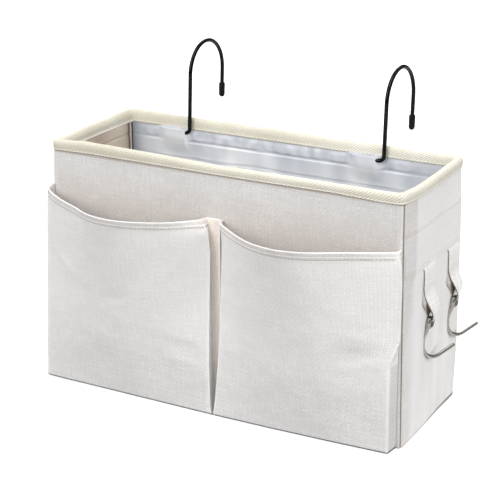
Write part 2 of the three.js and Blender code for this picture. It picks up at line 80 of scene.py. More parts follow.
def new_material(name):
    made = bpy.data.materials.new(name)
    made.use_nodes = True
    made.node_tree.nodes.clear()
    return made, made.node_tree


def finish_material(tree, shader):
    node(tree, "ShaderNodeOutputMaterial", links={"Surface": shader.outputs["BSDF"]})


def tinted(tree, colour, warm):
    """Colours cloth by its tint of painted light and shade: below 0 a painted highlight,
    up to 1 painted warm shade in folds, up to 2 painted dark shade in seams.
    """
    tint = node(tree, "ShaderNodeAttribute", {"attribute_name": "tint"}).outputs["Fac"]
    pale = node(tree, "ShaderNodeMath", {"operation": "MULTIPLY"}, {0: tint, 1: -1.0})
    deep = node(tree, "ShaderNodeMath", {"operation": "SUBTRACT"}, {0: tint, 1: 1.0})
    for factor, blend, hexed in ((pale.outputs[0], "MIX", painted_highlight_hex), (tint, "MULTIPLY", warm),
                                 (deep.outputs[0], "MULTIPLY", painted_deep_shade_hex)):
        settings = {"data_type": "RGBA", "blend_type": blend, "clamp_factor": True}
        colour = node(tree, "ShaderNodeMix", settings, {
            "Factor": factor, 6: colour, 7: linear(hexed)}).outputs[2]
    return colour


def plain_weave(name, light, shade, warm, pitch=thread_pitch, depth=thread_depth, roughness=0.92, slub=1.0):
    """Plain-woven cloth from its UV map in metres: crossing threads, and slubs along them."""
    material, tree = new_material(name)
    place = node(tree, "ShaderNodeSeparateXYZ", links={
        0: node(tree, "ShaderNodeUVMap", {"uv_map": "UVMap"}).outputs["UV"]})
    counts, ridges, slubs = [], [], []
    for axis, other, seed in (("X", "Y", 3.7), ("Y", "X", 9.1)):
        count = node(tree, "ShaderNodeMath", {"operation": "DIVIDE"}, {0: place.outputs[axis], 1: pitch})
        counts.append(node(tree, "ShaderNodeMath", {"operation": "FLOOR"}, {0: count.outputs[0]}))
        turn = node(tree, "ShaderNodeMath", {"operation": "MULTIPLY"}, {0: count.outputs[0], 1: math.pi})
        wave = node(tree, "ShaderNodeMath", {"operation": "SINE"}, {0: turn.outputs[0]})
        ridges.append(node(tree, "ShaderNodeMath", {"operation": "ABSOLUTE"}, {0: wave.outputs[0]}))
        along = node(tree, "ShaderNodeMath", {"operation": "DIVIDE"}, {
            0: place.outputs[other], 1: slub_length})
        where = node(tree, "ShaderNodeCombineXYZ", links={
            0: counts[-1].outputs[0], 1: along.outputs[0], 2: seed})
        slubs.append(node(tree, "ShaderNodeTexNoise", links={
            "Vector": where.outputs[0], "Scale": 0.83, "Detail": 1.5}))
    parity = node(tree, "ShaderNodeMath", {"operation": "FLOORED_MODULO"}, {
        0: node(tree, "ShaderNodeMath", {"operation": "ADD"}, {
            0: counts[0].outputs[0], 1: counts[1].outputs[0]}).outputs[0], 1: 2.0})
    over, tone = (node(tree, "ShaderNodeMix", {"data_type": "FLOAT"}, {
        "Factor": parity.outputs[0], 2: pair[0].outputs[0], 3: pair[1].outputs[0]})
                  for pair in (ridges, slubs))
    cloudy = node(tree, "ShaderNodeTexNoise", links={
        "Vector": node(tree, "ShaderNodeTexCoord").outputs["Object"], "Scale": 22.0, "Detail": 3.0})
    level = -0.42 - 0.6 * slub
    for part, share in ((cloudy, 0.5), (tone, 1.2 * slub), (over, 0.55)):
        level = node(tree, "ShaderNodeMath", {"operation": "MULTIPLY_ADD"}, {
            0: part.outputs[0], 1: share, 2: level}).outputs[0]
    thread_colour = node(tree, "ShaderNodeMix", {"data_type": "RGBA", "clamp_factor": True}, {
        "Factor": level, 6: linear(shade), 7: linear(light)})
    height = node(tree, "ShaderNodeMath", {"operation": "ADD"}, {0: over.outputs[0], 1: tone.outputs[0]})
    bump = node(tree, "ShaderNodeBump", links={
        "Strength": 0.55, "Distance": depth, "Height": height.outputs[0]})
    finish_material(tree, node(tree, "ShaderNodeBsdfPrincipled", links={
        "Base Color": tinted(tree, thread_colour.outputs[2], warm), "Roughness": roughness,
        "Normal": bump.outputs[0], "Specular IOR Level": 0.25, "Sheen Weight": 0.12, "Sheen Roughness": 0.5}))
    return material


# Linen canvas: matt, with uneven crossing threads that catch the light
linen = plain_weave("linen_canvas_woven", linen_hex, linen_shade_hex, linen_painted_shade_hex)
smooth_angle = math.radians(50)


def mesh_piece(name, vertices, faces, uvs, material, tint=None):
    mesh = bpy.data.meshes.new(name)
    mesh.from_pydata([tuple(v) for v in vertices], [], faces)
    mesh.uv_layers.new(name="UVMap").data.foreach_set("uv", np.asarray(uvs, np.float32).ravel())
    if tint is not None:
        attribute = mesh.attributes.new("tint", "FLOAT", "POINT")
        attribute.data.foreach_set("value", np.asarray(tint, np.float32).ravel())
    mesh.polygons.foreach_set("use_smooth", [True] * len(mesh.polygons))
    mesh.set_sharp_from_angle(angle=smooth_angle)
    mesh.materials.append(material)
    made = bpy.data.objects.new(name, mesh)
    bpy.context.scene.collection.objects.link(made)
    return made


def run_lengths(points, closed=False):
    """Length along a line up to each of its points, and round to the first again where it is closed."""
    if closed:
        points = np.concatenate([points, points[:1]])
    return np.concatenate([[0], np.cumsum(np.linalg.norm(np.diff(points, axis=0), axis=1))])


def grid_normals(face, wrap):
    across = np.roll(face, -1, 1) - np.roll(face, 1, 1) if wrap else np.gradient(face, axis=1)
    normal = np.cross(across, np.gradient(face, axis=0))
    return normal / np.maximum(np.linalg.norm(normal, axis=2, keepdims=True), 1e-12)


def cloth_piece(name, face, thickness, material, wrap=False, tint=None, back_tint=None):
    """A ply of cloth or board: rows of points on its outer face, and its back one thickness behind them."""
    rows, columns = face.shape[:2]
    back = face - grid_normals(face, wrap) * thickness
    back[..., 2] = np.maximum(back[..., 2], 0.1 * MM)
    vertices = np.concatenate([face.reshape(-1, 3), back.reshape(-1, 3)])
    u, v = run_lengths(face[rows // 2], wrap), run_lengths(face[:, columns // 2])
    faces, uvs = [], []
    last = columns if wrap else columns - 1

    def add(corners):
        faces.append([i * columns + j % columns + side * rows * columns for i, j, side in corners])
        uvs.extend((u[j], v[i]) for i, j, _ in corners)

    for i in range(rows - 1):
        for j in range(last):
            add([(i, j, 0), (i, j + 1, 0), (i + 1, j + 1, 0), (i + 1, j, 0)])
            add([(i + 1, j, 1), (i + 1, j + 1, 1), (i, j + 1, 1), (i, j, 1)])
    for j in range(last):
        add([(0, j + 1, 0), (0, j, 0), (0, j, 1), (0, j + 1, 1)])
        add([(rows - 1, j, 0), (rows - 1, j + 1, 0), (rows - 1, j + 1, 1), (rows - 1, j, 1)])
    for i in range(0 if wrap else rows - 1):
        add([(i, 0, 0), (i + 1, 0, 0), (i + 1, 0, 1), (i, 0, 1)])
        add([(i + 1, last, 0), (i, last, 0), (i, last, 1), (i + 1, last, 1)])
    if tint is not None:
        tint = np.concatenate([tint.ravel(), (tint if back_tint is None else back_tint).ravel()])
    return mesh_piece(name, vertices, faces, uvs, material, tint)


def soft_noise(x, y, z, scale, seed):
    x, y, z = np.broadcast_arrays(x, y, z)
    flat = [noise.noise(Vector((a / scale + seed, b / scale, c / scale))) for a, b, c in zip(
        x.ravel(), y.ravel(), z.ravel())]
    return np.array(flat).reshape(x.shape)


def ramp(distance, run):
    """0 up to distance 0, 1 from distance run on, and even in between."""
    return np.clip(distance / run, 0, 1)


def bell(distance, width):
    """1 at distance 0, fading to nothing within about two widths on either side."""
    return np.exp(-(distance / width) ** 2)


def rounded_plan(half_x, half_y, radius, spacing, arc_steps):
    """Stations round a rectangle with rounded corners, anticlockwise from the front right corner."""
    core_x, core_y = half_x - radius, half_y - radius
    points = []
    centres = [(core_x, -core_y, -90), (core_x, core_y, 0), (-core_x, core_y, 90), (-core_x, -core_y, 180)]
    for x, y, start in centres:
        for step in range(arc_steps + 1):
            angle = math.radians(start + 90 * step / arc_steps)
            points.append((x + radius * math.cos(angle), y + radius * math.sin(angle)))
    out = []
    for here, following in zip(points, points[1:] + points[:1]):
        gap = math.dist(here, following)
        count = max(1, round(gap / spacing)) if gap > 2 * spacing else 1
        out += [tuple(np.array(here) + (np.array(following) - here) * k / count) for k in range(count)]
    return np.array(out)


plan = rounded_plan(half_width, half_depth, corner_radius, 3 * MM, 10)
heights = np.concatenate([[wall_foot], np.array([1.9, 2.8, 4.0]) * MM, np.arange(7, 196, 3.5) * MM,
                          np.arange(197, 204, 0.8) * MM, [wall_top]])
wall = np.zeros((len(heights), len(plan), 3))
wall[..., :2] = plan
wall[..., 2] = heights[:, None]
outward = grid_normals(wall, True)
facing_x, facing_y = np.abs(outward[..., 0]), np.abs(outward[..., 1])
on_corner = (np.abs(wall[..., 0]) > half_width - corner_radius - 1e-6) & (
    np.abs(wall[..., 1]) > half_depth - corner_radius - 1e-6)
seam = np.where(on_corner, bell(np.degrees(np.arctan2(facing_y, facing_x)) - seam_turn, seam_spread), 0)
across_share = np.where(facing_y > 0.7, wall[..., 0] / half_width, wall[..., 1] / half_depth)
sag = np.where(on_corner, 0, (1 - across_share ** 2) * np.sin(math.pi * wall[..., 2] / body_height))
waves = soft_noise(*np.moveaxis(wall, 2, 0), 38 * MM, 4.0)
stand_out = sag * panel_sag - seam * seam_sink + waves * panel_wave * np.clip(sag * 3, 0, 1)
wall = wall + outward * stand_out[..., None]


def right_bow(y, z):
    """How far the right end stands out from its flat board. It bulges behind the crease near its front
    corner, most of all at the rim, and the corner itself spreads towards the foot."""
    behind_crease = np.interp(y / MM, [-57.5, -38, -15, 25, 57.5], [0, 0.85, 1, 0.65, 0.15]) * np.interp(
        z / MM, [0, 30, 120, 170, 210], [0.25, 0.5, 0.45, 0.75, 1])
    back_corner = np.interp(y / MM, [20, 57.5], [0, 1]) * np.interp(
        z / MM, [0, 40, 100, 160, 200], [0.2, 0.8, 1, 0.6, 0])
    front_foot = np.interp(y / MM, [-57.5, 20], [1, 0.2]) * ramp(200 * MM - z, 200 * MM) ** 1.2
    return (3.4 * behind_crease + 2.2 * back_corner + 2.6 * front_foot) * MM


def left_bow(y, z):
    """How far the left end stands out from its flat board, most of all at its front corner."""
    return np.interp(z / MM, [0, 30, 120, 165, 195, 205], [0, 1.5, 3.5, 3.8, 2.2, 1.0]) * np.interp(
        y / MM, [-57.5, -20, 57.5], [1, 0.35, 0]) * MM


def stretch_right(points):
    """Moves what lies at the right end outwards with the wall, fading away along the front and back."""
    moved = points.copy()
    share = ramp(points[..., 0] - half_width + bow_fade, bow_fade)
    moved[..., 0] += share * right_bow(points[..., 1], points[..., 2])
    return moved


wall = stretch_right(wall)
wall[..., 0] -= ramp(-wall[..., 0] - half_width + bow_fade, bow_fade) * left_bow(wall[..., 1], wall[..., 2])
x, y, z = np.moveaxis(wall, 2, 0)
# Painted light and shade on the walls: shade above the pockets, in the corner seams and under the rim; the right
# end paler, with painted streaks of soft folds and a dark painted shadow along its foot
on_right = ramp(x - half_width + 1 * MM, 1 * MM)
before_crease = ramp(end_crease_y - y, np.interp(z, [80 * MM, 150 * MM], [20 * MM, 3 * MM]))
streaks = 0.3 * soft_noise(0, y, z * 0.15, 13 * MM, 17.0) * ramp(120 * MM - z, 40 * MM)
behind_pocket = ramp(pocket_top + pocket_shadow - z, 30 * MM) * ((np.abs(x) < 157 * MM) & (y < -50 * MM))
under_rim = np.exp(-np.maximum(200.9 * MM - z, 0) / (0.6 * MM))
foot_seam_z = (1.6 + 2.6 * ramp(y + 20 * MM, 70 * MM)) * MM
wall_tint = (0.45 * behind_pocket + seam * np.where((x > 0) & (y < 0), 2.0, 1.2) + 0.7 * under_rim * (
    1 - 0.8 * on_right) + on_right * (0.1 * before_crease - 0.45 * (1 - before_crease)) * (1 - seam)
    + on_right * (1 - before_crease) * streaks)
wall_tint += (1.5 - wall_tint) * on_right * ramp(foot_seam_z - z, 1 * MM)
canvas_box = cloth_piece("canvas_box", wall, canvas_ply, linen, wrap=True, tint=np.clip(wall_tint, -1, 2))
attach(canvas_box, "bag")
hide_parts("front_canvas", "back_canvas", "left_canvas", "right_canvas")

# Bottom panel
# A rectangle of the same canvas under the base board, sewn round its edge to the walls.
# Its seam stands a little proud as a thin line under the walls.


def ring_faces(start, count):
    """Faces between a ring of vertices and the ring that follows it."""
    return [[start + j, start + (j + 1) % count, start + count + (j + 1) % count, start + count + j]
            for j in range(count)]


def plate_piece(name, rings, half_x, half_y, radius, material, low):
    """A flat panel with a soft edge: its rings are (inset, height) in mm, from its lower face up."""
    loops = [rounded_plan(half_x - inset * MM, half_y - inset * MM, radius, 6 * MM, 5) for inset, _ in rings]
    count = len(loops[0])
    vertices = stretch_right(np.array([
        (x, y, low + height * MM) for loop, (_, height) in zip(loops, rings) for x, y in loop]))
    faces = [list(range(count))[::-1]]
    for k in range(len(rings) - 1):
        faces += ring_faces(k * count, count)
    faces.append([len(vertices) - count + j for j in range(count)])
    uvs = [(vertices[c][0], vertices[c][1] + vertices[c][2]) for f in faces for c in f]
    return mesh_piece(name, vertices, faces, uvs, material, np.zeros(len(vertices)))


bottom_panel = plate_piece("bottom_panel", [(0.9, 0.0), (0.25, 0.1), (0.0, 0.45), (0.0, 0.8), (0.5, 1.2)],
                           half_width, half_depth, corner_radius, linen, 0)
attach(bottom_panel, "bag")
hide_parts("base_canvas")

# Stiffening boards
# Grey pulp board slipped between the canvas and the lining, five pieces, hidden once the box is sewn.
# The right one is redrawn here, because it bows outwards with its wall.
board_ply, board_face_x = 2 * MM, 158.5 * MM
board_half, board_foot, board_top = 53.7 * MM, 3.8 * MM, 208.7 * MM
board_hex, board_dark_hex = "#a89e90", "#877c6d"

# Greyboard: pressed paper fibre, matt and slightly mottled
greyboard, tree = new_material("pulp_greyboard_pressed")
fibre = node(tree, "ShaderNodeTexNoise", links={
    "Vector": node(tree, "ShaderNodeMapping", links={
        0: node(tree, "ShaderNodeTexCoord").outputs["Object"], "Scale": (1, 1, 3)}).outputs[0],
    "Scale": 420.0, "Detail": 4.0, "Roughness": 0.7})
finish_material(tree, node(tree, "ShaderNodeBsdfPrincipled", links={
    "Base Color": node(tree, "ShaderNodeMix", {"data_type": "RGBA"}, {
        "Factor": fibre.outputs["Fac"], 6: linear(board_dark_hex), 7: linear(board_hex)}).outputs[2],
    "Roughness": 0.95, "Normal": node(tree, "ShaderNodeBump", links={
        "Strength": 0.3, "Distance": 0.1 * MM, "Height": fibre.outputs["Fac"]}).outputs[0]}))
for side in ("front", "back", "left", "base"):
    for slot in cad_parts[f"{side}_board"].material_slots:
        slot.material = greyboard
board_y, board_z = np.meshgrid(np.linspace(-board_half, board_half, 37),
                               np.linspace(board_foot, board_top, 60))
board_face = stretch_right(np.stack([np.full_like(board_y, board_face_x), board_y, board_z], axis=2))
right_board = cloth_piece("bowed_right_board", board_face, board_ply, greyboard)
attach(right_board, "bag")
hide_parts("right_board")

# Lining
# A thin bluish-white cloth inside the four walls and on the floor, stitched through near its top edge,
# so that it ripples softly below the rim. The left end's lining is drawn beige and darker, as a painted shade.
wall_thickness, lining_ply = 4.6 * MM, 0.8 * MM
lining_foot, lining_top = 4.9 * MM, 207 * MM
# The third colour of each cloth is the painted shade for its creases and corners
lining_hex, lining_shade_hex, lining_painted_shade_hex = "#dadcdf", "#c8cbd0", "#c2c5cc"
beige_hex, beige_shade_hex, beige_painted_shade_hex = "#e2dbd0", "#cec4b7", "#a39280"
lining_pitch, lining_depth = 0.9 * MM, 0.06 * MM
lining_stitch_z, lining_crease_z = 190.5 * MM, 175 * MM
floor_gap = 3.8 * MM

# Lining cloth: finer and smoother than the canvas, with a cool tone
lining_cloth = plain_weave("polycotton_lining_woven", lining_hex, lining_shade_hex, lining_painted_shade_hex,
                           lining_pitch, lining_depth, roughness=0.8, slub=0.6)
# Beige cloth on the left end: the same weave, drawn darker and warmer as painted shade for that inner wall
left_lining_shaded_cloth = plain_weave("beige_lining_painted_shade", beige_hex, beige_shade_hex, beige_painted_shade_hex,
                           lining_pitch, lining_depth, roughness=0.9, slub=0.8)

# Places of the rail hooks' feet, and where the sleeves that are sewn into the back lining begin
hook_places = {"left": -91.5 * MM, "right": 95 * MM}
foot_shown, foot_hidden = 8.5 * MM, 16 * MM
foot_y, foot_z = 48.842 * MM, 198.8 * MM
sleeve_starts = {"left": 2.5 * MM, "right": 4.5 * MM}
sleeve_rise, sleeve_end = 6.2 * MM, 5 * MM
side_turns = {"front": (0, body_width, body_depth), "right": (90, body_depth, body_width),
              "back": (180, body_width, body_depth), "left": (-90, body_depth, body_width)}
close = np.arange(0, 6.4, 0.8) * MM
lining_heights = np.concatenate([np.arange(lining_foot, 170 * MM, 4 * MM), np.arange(170.4, 206.8, 0.8) * MM,
                                 [lining_top]])
for side, (turn, length, reach) in side_turns.items():
    half = length / 2 - wall_thickness
    even = np.linspace(half - 8 * MM, 8 * MM - half, round(2 * half / (3 * MM)))
    gx, gz = np.meshgrid(np.concatenate([half - close, even, close[::-1] - half]), lining_heights)
    end_share = 1 - (np.abs(gx) / half) ** 6
    gathers = soft_noise(gx, gz * 0.35, 0, 9 * MM, 2.0 + turn)
    swell = soft_noise(gx, gz, 0, 45 * MM, 7.0 + turn)
    stitch = bell(gz - lining_stitch_z, 1 * MM)
    crease = bell(gz - lining_crease_z - 2 * MM * swell, 1 * MM)
    near_stitch = np.exp(-np.abs(gz - lining_stitch_z) / (9 * MM))
    puff = end_share * ramp(200.5 * MM - gz, 3 * MM) * MM * (
        0.5 - 0.9 * stitch - 0.5 * crease + 1.5 * gathers * near_stitch + 1.3 * swell * np.sin(
            math.pi * gz / body_height))
    # Painted light and shade of the lining: darker towards its corners, painted shade with a pale painted ridge
    # at the stitch line and the crease, paler lower down, mottled painted shade above the stitch line and painted
    # shade of soft folds below it
    mottle = soft_noise(gx, gz * 0.8, 0, 6 * MM, 12.0 + turn)
    folds = soft_noise(gx, gz * 0.2, 0, 15 * MM, 5.0 + turn)
    above = ramp(gz - lining_stitch_z, 1 * MM)
    tint = 0.45 * (1 - end_share) + end_share * (
        0.4 * stitch - 0.6 * bell(gz - lining_stitch_z + 1.5 * MM, 0.6 * MM)
        + 0.4 * crease - 0.3 * bell(gz - lining_crease_z - 1.8 * MM, 0.9 * MM)
        - 0.45 * ramp(187 * MM - gz, 25 * MM) + above * (0.25 + 0.6 * mottle) + (1 - above) * 0.6 * folds)
    for hook, shown in sleeve_starts.items() if side == "back" else ():
        low, high = hook_places[hook] - foot_shown - foot_hidden - sleeve_end, hook_places[hook] - shown
        along = np.clip(np.minimum((high + gx) / (3.5 * MM), (-gx - low) / (14 * MM)) + 0.5, 0, 1)
        rise = gz - foot_z
        dome = np.where(rise > 0, ramp(3.6 * MM - rise, 1.6 * MM),
                        bell(np.maximum(-rise - 2 * MM, 0), 12 * MM))
        puff = np.maximum(puff, sleeve_rise * along ** 2 * (3 - 2 * along) * dome)
        # Painted shade along the top of the sleeve's dome, and painted light below the sleeve
        tint = tint * (1 - along * dome) + along * (
            0.35 * bell(rise - 2.8 * MM, 1.2 * MM) - 0.5 * bell(rise + 9 * MM, 6 * MM))
    face = np.stack([gx, -reach / 2 + wall_thickness + puff, gz], axis=2)
    face = stretch_right(face @ np.array(Matrix.Rotation(math.radians(turn), 3, "Z")).T)
    to_left = face[..., 0] + half_width - wall_thickness
    to_back = half_depth - wall_thickness - face[..., 1]
    # Left end: painted shade growing towards the back corner, with a dark and a pale line along the corner seam.
    # Back: painted shade into its left corner, darkest at the seam
    if side == "left":
        tint = (np.clip(0.35 + 0.5 * swell, 0, 1) + 0.5 * np.exp(-to_back / (13 * MM))
                + 1.2 * bell(to_back - 4.4 * MM, 1 * MM) - 0.9 * bell(to_back - 1.6 * MM, 1.2 * MM))
    elif side == "back":
        tint = tint + 0.9 * np.exp(-np.maximum(to_left, 0) / (8 * MM)) + 1.0 * (to_left < 1.4 * MM)
    cloth = left_lining_shaded_cloth if side == "left" else lining_cloth
    lining = cloth_piece(f"{side}_lining_cloth", face, lining_ply, cloth, tint=np.clip(tint, -1, 2))
    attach(lining, "bag")
    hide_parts(f"{side}_lining")
floor_lining = plate_piece("floor_lining_cloth", [(0.2, 0.0), (0.0, 0.25), (0.0, 0.6), (0.4, 0.8)],
                           half_width - floor_gap, half_depth - floor_gap, 2.2 * MM, lining_cloth, floor_gap)
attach(floor_lining, "bag")
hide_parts("base_lining")

# Rim binding
# One cream twill tape, 27 mm wide, folded over the raw top edges and stitched through all the plies.
# It rounds softly over the rim, and bulks out at the corners where it is folded.
# The third colour is the tape's painted shade
binding_hex, binding_shade_hex, binding_painted_shade_hex = "#e8e5d9", "#b3ac97", "#c2c1bf"
thread_hex, thread_shade_hex = "#f1eee2", "#dedbd0"
twill_pitch, twill_slope = 3.2 * MM, 1.25  # ribs drawn coarser than the real ones, which are under 1 mm apart
fold_radius, fold_inner_radius = 4.2 * MM, 2.4 * MM
rim_z = 205 * MM

# Section of the tape as (offset, drop) in mm, from its outer edge over the rim to its inner edge and back
# inside. Offset is from the wall's outer face and drop from the rim. Points past rim_middle follow the inner face
binding_outline = [(0.75, -8.7), (1.1, -8.3), (0.8, -7.6), (1.05, -6.2), (1.1, -4.2), (0.9, -2.5), (0.3, -1.0),
                   (-0.8, -0.2), (-2.2, 0.1), (-3.5, -0.2), (-4.4, -1.2), (-5.0, -2.8), (-5.2, -5.4),
                   (-4.9, -7.7), (-5.3, -8.6), (-4.9, -9.1), (-4.5, -8.9), (-4.1, -3.4), (-3.4, -1.9),
                   (-2.2, -1.2), (-0.9, -1.6), (0.1, -3.0), (0.1, -8.3), (0.3, -8.7)]
rim_middle, outer_stitch, inner_stitch = -2.3, 2, 13

# How far the top of the rim, and the lower edge of its outer flap, stand above their level, in mm by x
front_rim = ([-160, -130, -60, 0, 80, 130, 154, 160], [0.2, 2.2, 0.9, -0.8, -0.6, -0.9, -0.9, -0.1])
front_flap = ([-160, -125, 20, 100, 140, 160], [0.6, 1.4, 0.6, 1.0, -0.5, -0.3])
back_rim = ([-160, 0, 160], [2.2, 1.3, 0.3])

# Cream binding tape: cotton twill, whose fine ribs run slantwise across it and show less towards the left
binding_tape, tree = new_material("cotton_twill_tape_cream")
place = node(tree, "ShaderNodeSeparateXYZ", links={
    0: node(tree, "ShaderNodeUVMap", {"uv_map": "UVMap"}).outputs["UV"]})
slant = node(tree, "ShaderNodeMath", {"operation": "DIVIDE"}, {
    0: node(tree, "ShaderNodeMath", {"operation": "MULTIPLY_ADD"}, {
        0: place.outputs["Y"], 1: twill_slope, 2: place.outputs["X"]}).outputs[0], 1: twill_pitch})
wave = node(tree, "ShaderNodeMath", {"operation": "SINE"}, {
    0: node(tree, "ShaderNodeMath", {"operation": "MULTIPLY"}, {0: slant.outputs[0], 1: math.pi}).outputs[0]})
rib = node(tree, "ShaderNodeMath", {"operation": "ABSOLUTE"}, {0: wave.outputs[0]})
object_place = node(tree, "ShaderNodeTexCoord").outputs["Object"]
fuzz, soiled = (node(tree, "ShaderNodeTexNoise", links={
    "Vector": object_place, "Scale": scale, "Detail": 2.0}) for scale in (900.0, 30.0))
rib_share = node(tree, "ShaderNodeMapRange", links={
    "Value": node(tree, "ShaderNodeSeparateXYZ", links={0: object_place}).outputs["X"],
    "From Min": -0.16, "From Max": 0.12, "To Min": 0.3, "To Max": 0.75})
tape_level = -0.3
for part, share in ((fuzz, 0.5), (soiled, 0.5), (rib, rib_share.outputs["Result"])):
    tape_level = node(tree, "ShaderNodeMath", {"operation": "MULTIPLY_ADD"}, {
        0: part.outputs[0], 1: share, 2: tape_level}).outputs[0]
tape_colour = node(tree, "ShaderNodeMix", {"data_type": "RGBA", "clamp_factor": True}, {
    "Factor": tape_level, 6: linear(binding_shade_hex), 7: linear(binding_hex)})
finish_material(tree, node(tree, "ShaderNodeBsdfPrincipled", links={
    "Base Color": tinted(tree, tape_colour.outputs[2], binding_painted_shade_hex),
    "Roughness": 0.9, "Specular IOR Level": 0.25, "Sheen Weight": 0.15, "Sheen Roughness": 0.5,
    "Normal": node(tree, "ShaderNodeBump", links={
        "Strength": 0.4, "Distance": 0.2 * MM, "Height": rib.outputs[0]}).outputs[0]}))


def swept_piece(name, rings, material, closed=False, tint=None):
    """A body through rings of points: closed joins its last ring to its first, else both ends are capped."""
    rings = np.asarray(rings)
    stations, count = rings.shape[:2]
    u = run_lengths(rings[:, 0], closed)
    v = run_lengths(rings[stations // 2], True)
    faces, uvs = [], []
    for i in range(stations if closed else stations - 1):
        for j in range(count):
            corners = [(i, j), (i, j + 1), (i + 1, j + 1), (i + 1, j)]
            faces.append([(a % stations) * count + b % count for a, b in corners])
            uvs.extend((u[a], v[b]) for a, b in corners)
    if not closed:
        faces += [list(range(count))[::-1], [(stations - 1) * count + j for j in range(count)]]
        uvs.extend([(u[0], v[j]) for j in range(count)[::-1]] + [(u[-1], v[j]) for j in range(count)])
    return mesh_piece(name, rings.reshape(-1, 3), faces, uvs, material, tint)


outer_line = rounded_plan(half_width, half_depth, fold_radius, 2.5 * MM, 8)
outer_core = np.array([half_width, half_depth]) - fold_radius
inner_core = np.array([half_width, half_depth]) - wall_thickness - fold_inner_radius
past_core = np.maximum(np.abs(outer_line) - outer_core, 0)
past_core = past_core / np.linalg.norm(past_core, axis=1, keepdims=True)
inner_line = np.copysign(np.minimum(np.abs(outer_line), outer_core) * inner_core / outer_core
                         + fold_inner_radius * past_core, outer_line)
rim_rings, rim_tints = [], []
for out, into in zip(outer_line, inner_line):
    lean = (out - into) / np.linalg.norm(out - into)
    at_corner = (np.abs(out) > np.array([half_width, half_depth]) - 5 * MM).all()
    bulk = 0.25 * at_corner + 0.22 * noise.noise(Vector((out[0] / (14 * MM), out[1] / (14 * MM), 5.0)))
    back_share = out[1] / body_depth + 0.5
    top_lift, flap_lift = (
        (1 - back_share) * np.interp(out[0] / MM, *front) + back_share * np.interp(out[0] / MM, *back_rim)
        for front in (front_rim, front_flap))
    at_end, at_left = ramp(out[0] - half_width + 6 * MM, 6 * MM), ramp(-out[0] - half_width + 6 * MM, 6 * MM)
    bow_right, bow_left = at_end * right_bow(out[1], rim_z), at_left * left_bow(out[1], rim_z)
    # Share of painted pale light towards the back of the right end
    painted_pale_share = at_end * ramp(out[1] + half_depth - 3 * MM, 22 * MM)
    ring, tints = [], []
    for offset, drop in binding_outline:
        if offset > rim_middle:
            x, y = out + lean * (offset + bulk) * MM
            x += bow_right - bow_left
            lift = flap_lift + (top_lift - flap_lift) * ramp(8 + drop, 8) + 0.5 * at_end * (drop < -5)
            # Outside: a painted dark shadow line along the lower edge of the flap, and painted shade over the
            # right end, paler towards its back
            tint = 1.7 * (drop < -8.6) * (1 - 0.5 * at_end) - 0.1 * painted_pale_share * (drop > -8) + 0.15 * at_end
        else:
            x, y = into + lean * (offset + wall_thickness / MM - bulk) * MM
            x += bow_right * (0.78 + 0.22 * ramp(0.9 + drop, 0.9))
            lift = top_lift * np.clip(1.2 + drop / 8, 0, 1)
            # Inside: painted shade on the left end's flap with a painted pale line at its edge; elsewhere painted
            # shade along the lower edge
            tint = 0.35 * (drop < -5) - 1.0 * (drop < -8.4) if at_left > 0.5 else 0.6 * (drop < -8)
        ring.append((x, y, body_height + (drop + lift) * MM))
        tints.append(tint)
    rim_rings.append(ring)
    rim_tints.append(tints)
rim_rings, rim_tints = np.array(rim_rings), np.array(rim_tints)
rim_tape = swept_piece("rim_binding_tape", rim_rings[:, ::-1], binding_tape, closed=True,
                       tint=rim_tints[:, ::-1])
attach(rim_tape, "bag")
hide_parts("rim_binding")

# Sewing thread: white polyester, slightly glossy, with a visible twist
sewing_thread, tree = new_material("polyester_sewing_thread")
twist = node(tree, "ShaderNodeTexWave", {"wave_type": "BANDS", "bands_direction": "DIAGONAL"}, {
    "Vector": node(tree, "ShaderNodeTexCoord").outputs["Object"], "Scale": 700.0})
finish_material(tree, node(tree, "ShaderNodeBsdfPrincipled", links={
    "Base Color": node(tree, "ShaderNodeMix", {"data_type": "RGBA"}, {
        "Factor": twist.outputs["Fac"], 6: linear(thread_shade_hex), 7: linear(thread_hex)}).outputs[2],
    "Roughness": 0.6, "Normal": node(tree, "ShaderNodeBump", links={
        "Strength": 0.4, "Distance": 0.05 * MM, "Height": twist.outputs["Fac"]}).outputs[0]}))

# One stitch as (place along it, lift above the cloth, thickness), in shares of its length and of its radius
stitch_profile = [(-0.5, -1.0, 0.35), (-0.36, 0.1, 0.8), (0.0, 0.45, 1.0), (0.36, 0.1, 0.8), (0.5, -1.0, 0.35)]
stitch_sides = 6


def circle(sides):
    return [(math.cos(t), math.sin(t)) for t in np.arange(sides) * 2 * math.pi / sides]


def stitch_row(name, path, normals, pitch, length, radius):
    """Lock stitches along a path: short threads that arch over the cloth and dip in at both ends."""
    path, normals = np.asarray(path), np.asarray(normals)
    along = run_lengths(path)
    vertices, faces = [], []

    def at(place, line):
        return np.array([np.interp(place, along, line[:, a]) for a in range(3)])

    for k in range(int(along[-1] / pitch)):
        start = len(vertices)
        for share, lift, thick in stitch_profile:
            place = (k + 0.5) * pitch + share * length
            up = at(place, normals)
            up = up / np.linalg.norm(up)
            ahead = at(place + 0.5 * MM, path) - at(place - 0.5 * MM, path)
            sideways = np.cross(ahead / np.linalg.norm(ahead), up)
            middle = at(place, path) + up * lift * radius
            vertices += [middle + radius * thick * (c * up + s * sideways) for c, s in circle(stitch_sides)]
        for i in range(start, len(vertices) - stitch_sides, stitch_sides):
            faces += ring_faces(i, stitch_sides)
        faces.append([start + j for j in range(stitch_sides)][::-1])
        faces.append([len(vertices) - stitch_sides + j for j in range(stitch_sides)])
    uvs = [(vertices[c][0], vertices[c][2]) for f in faces for c in f]
    piece = mesh_piece(name, vertices, faces, uvs, sewing_thread)
    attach(piece, "bag")
    return piece


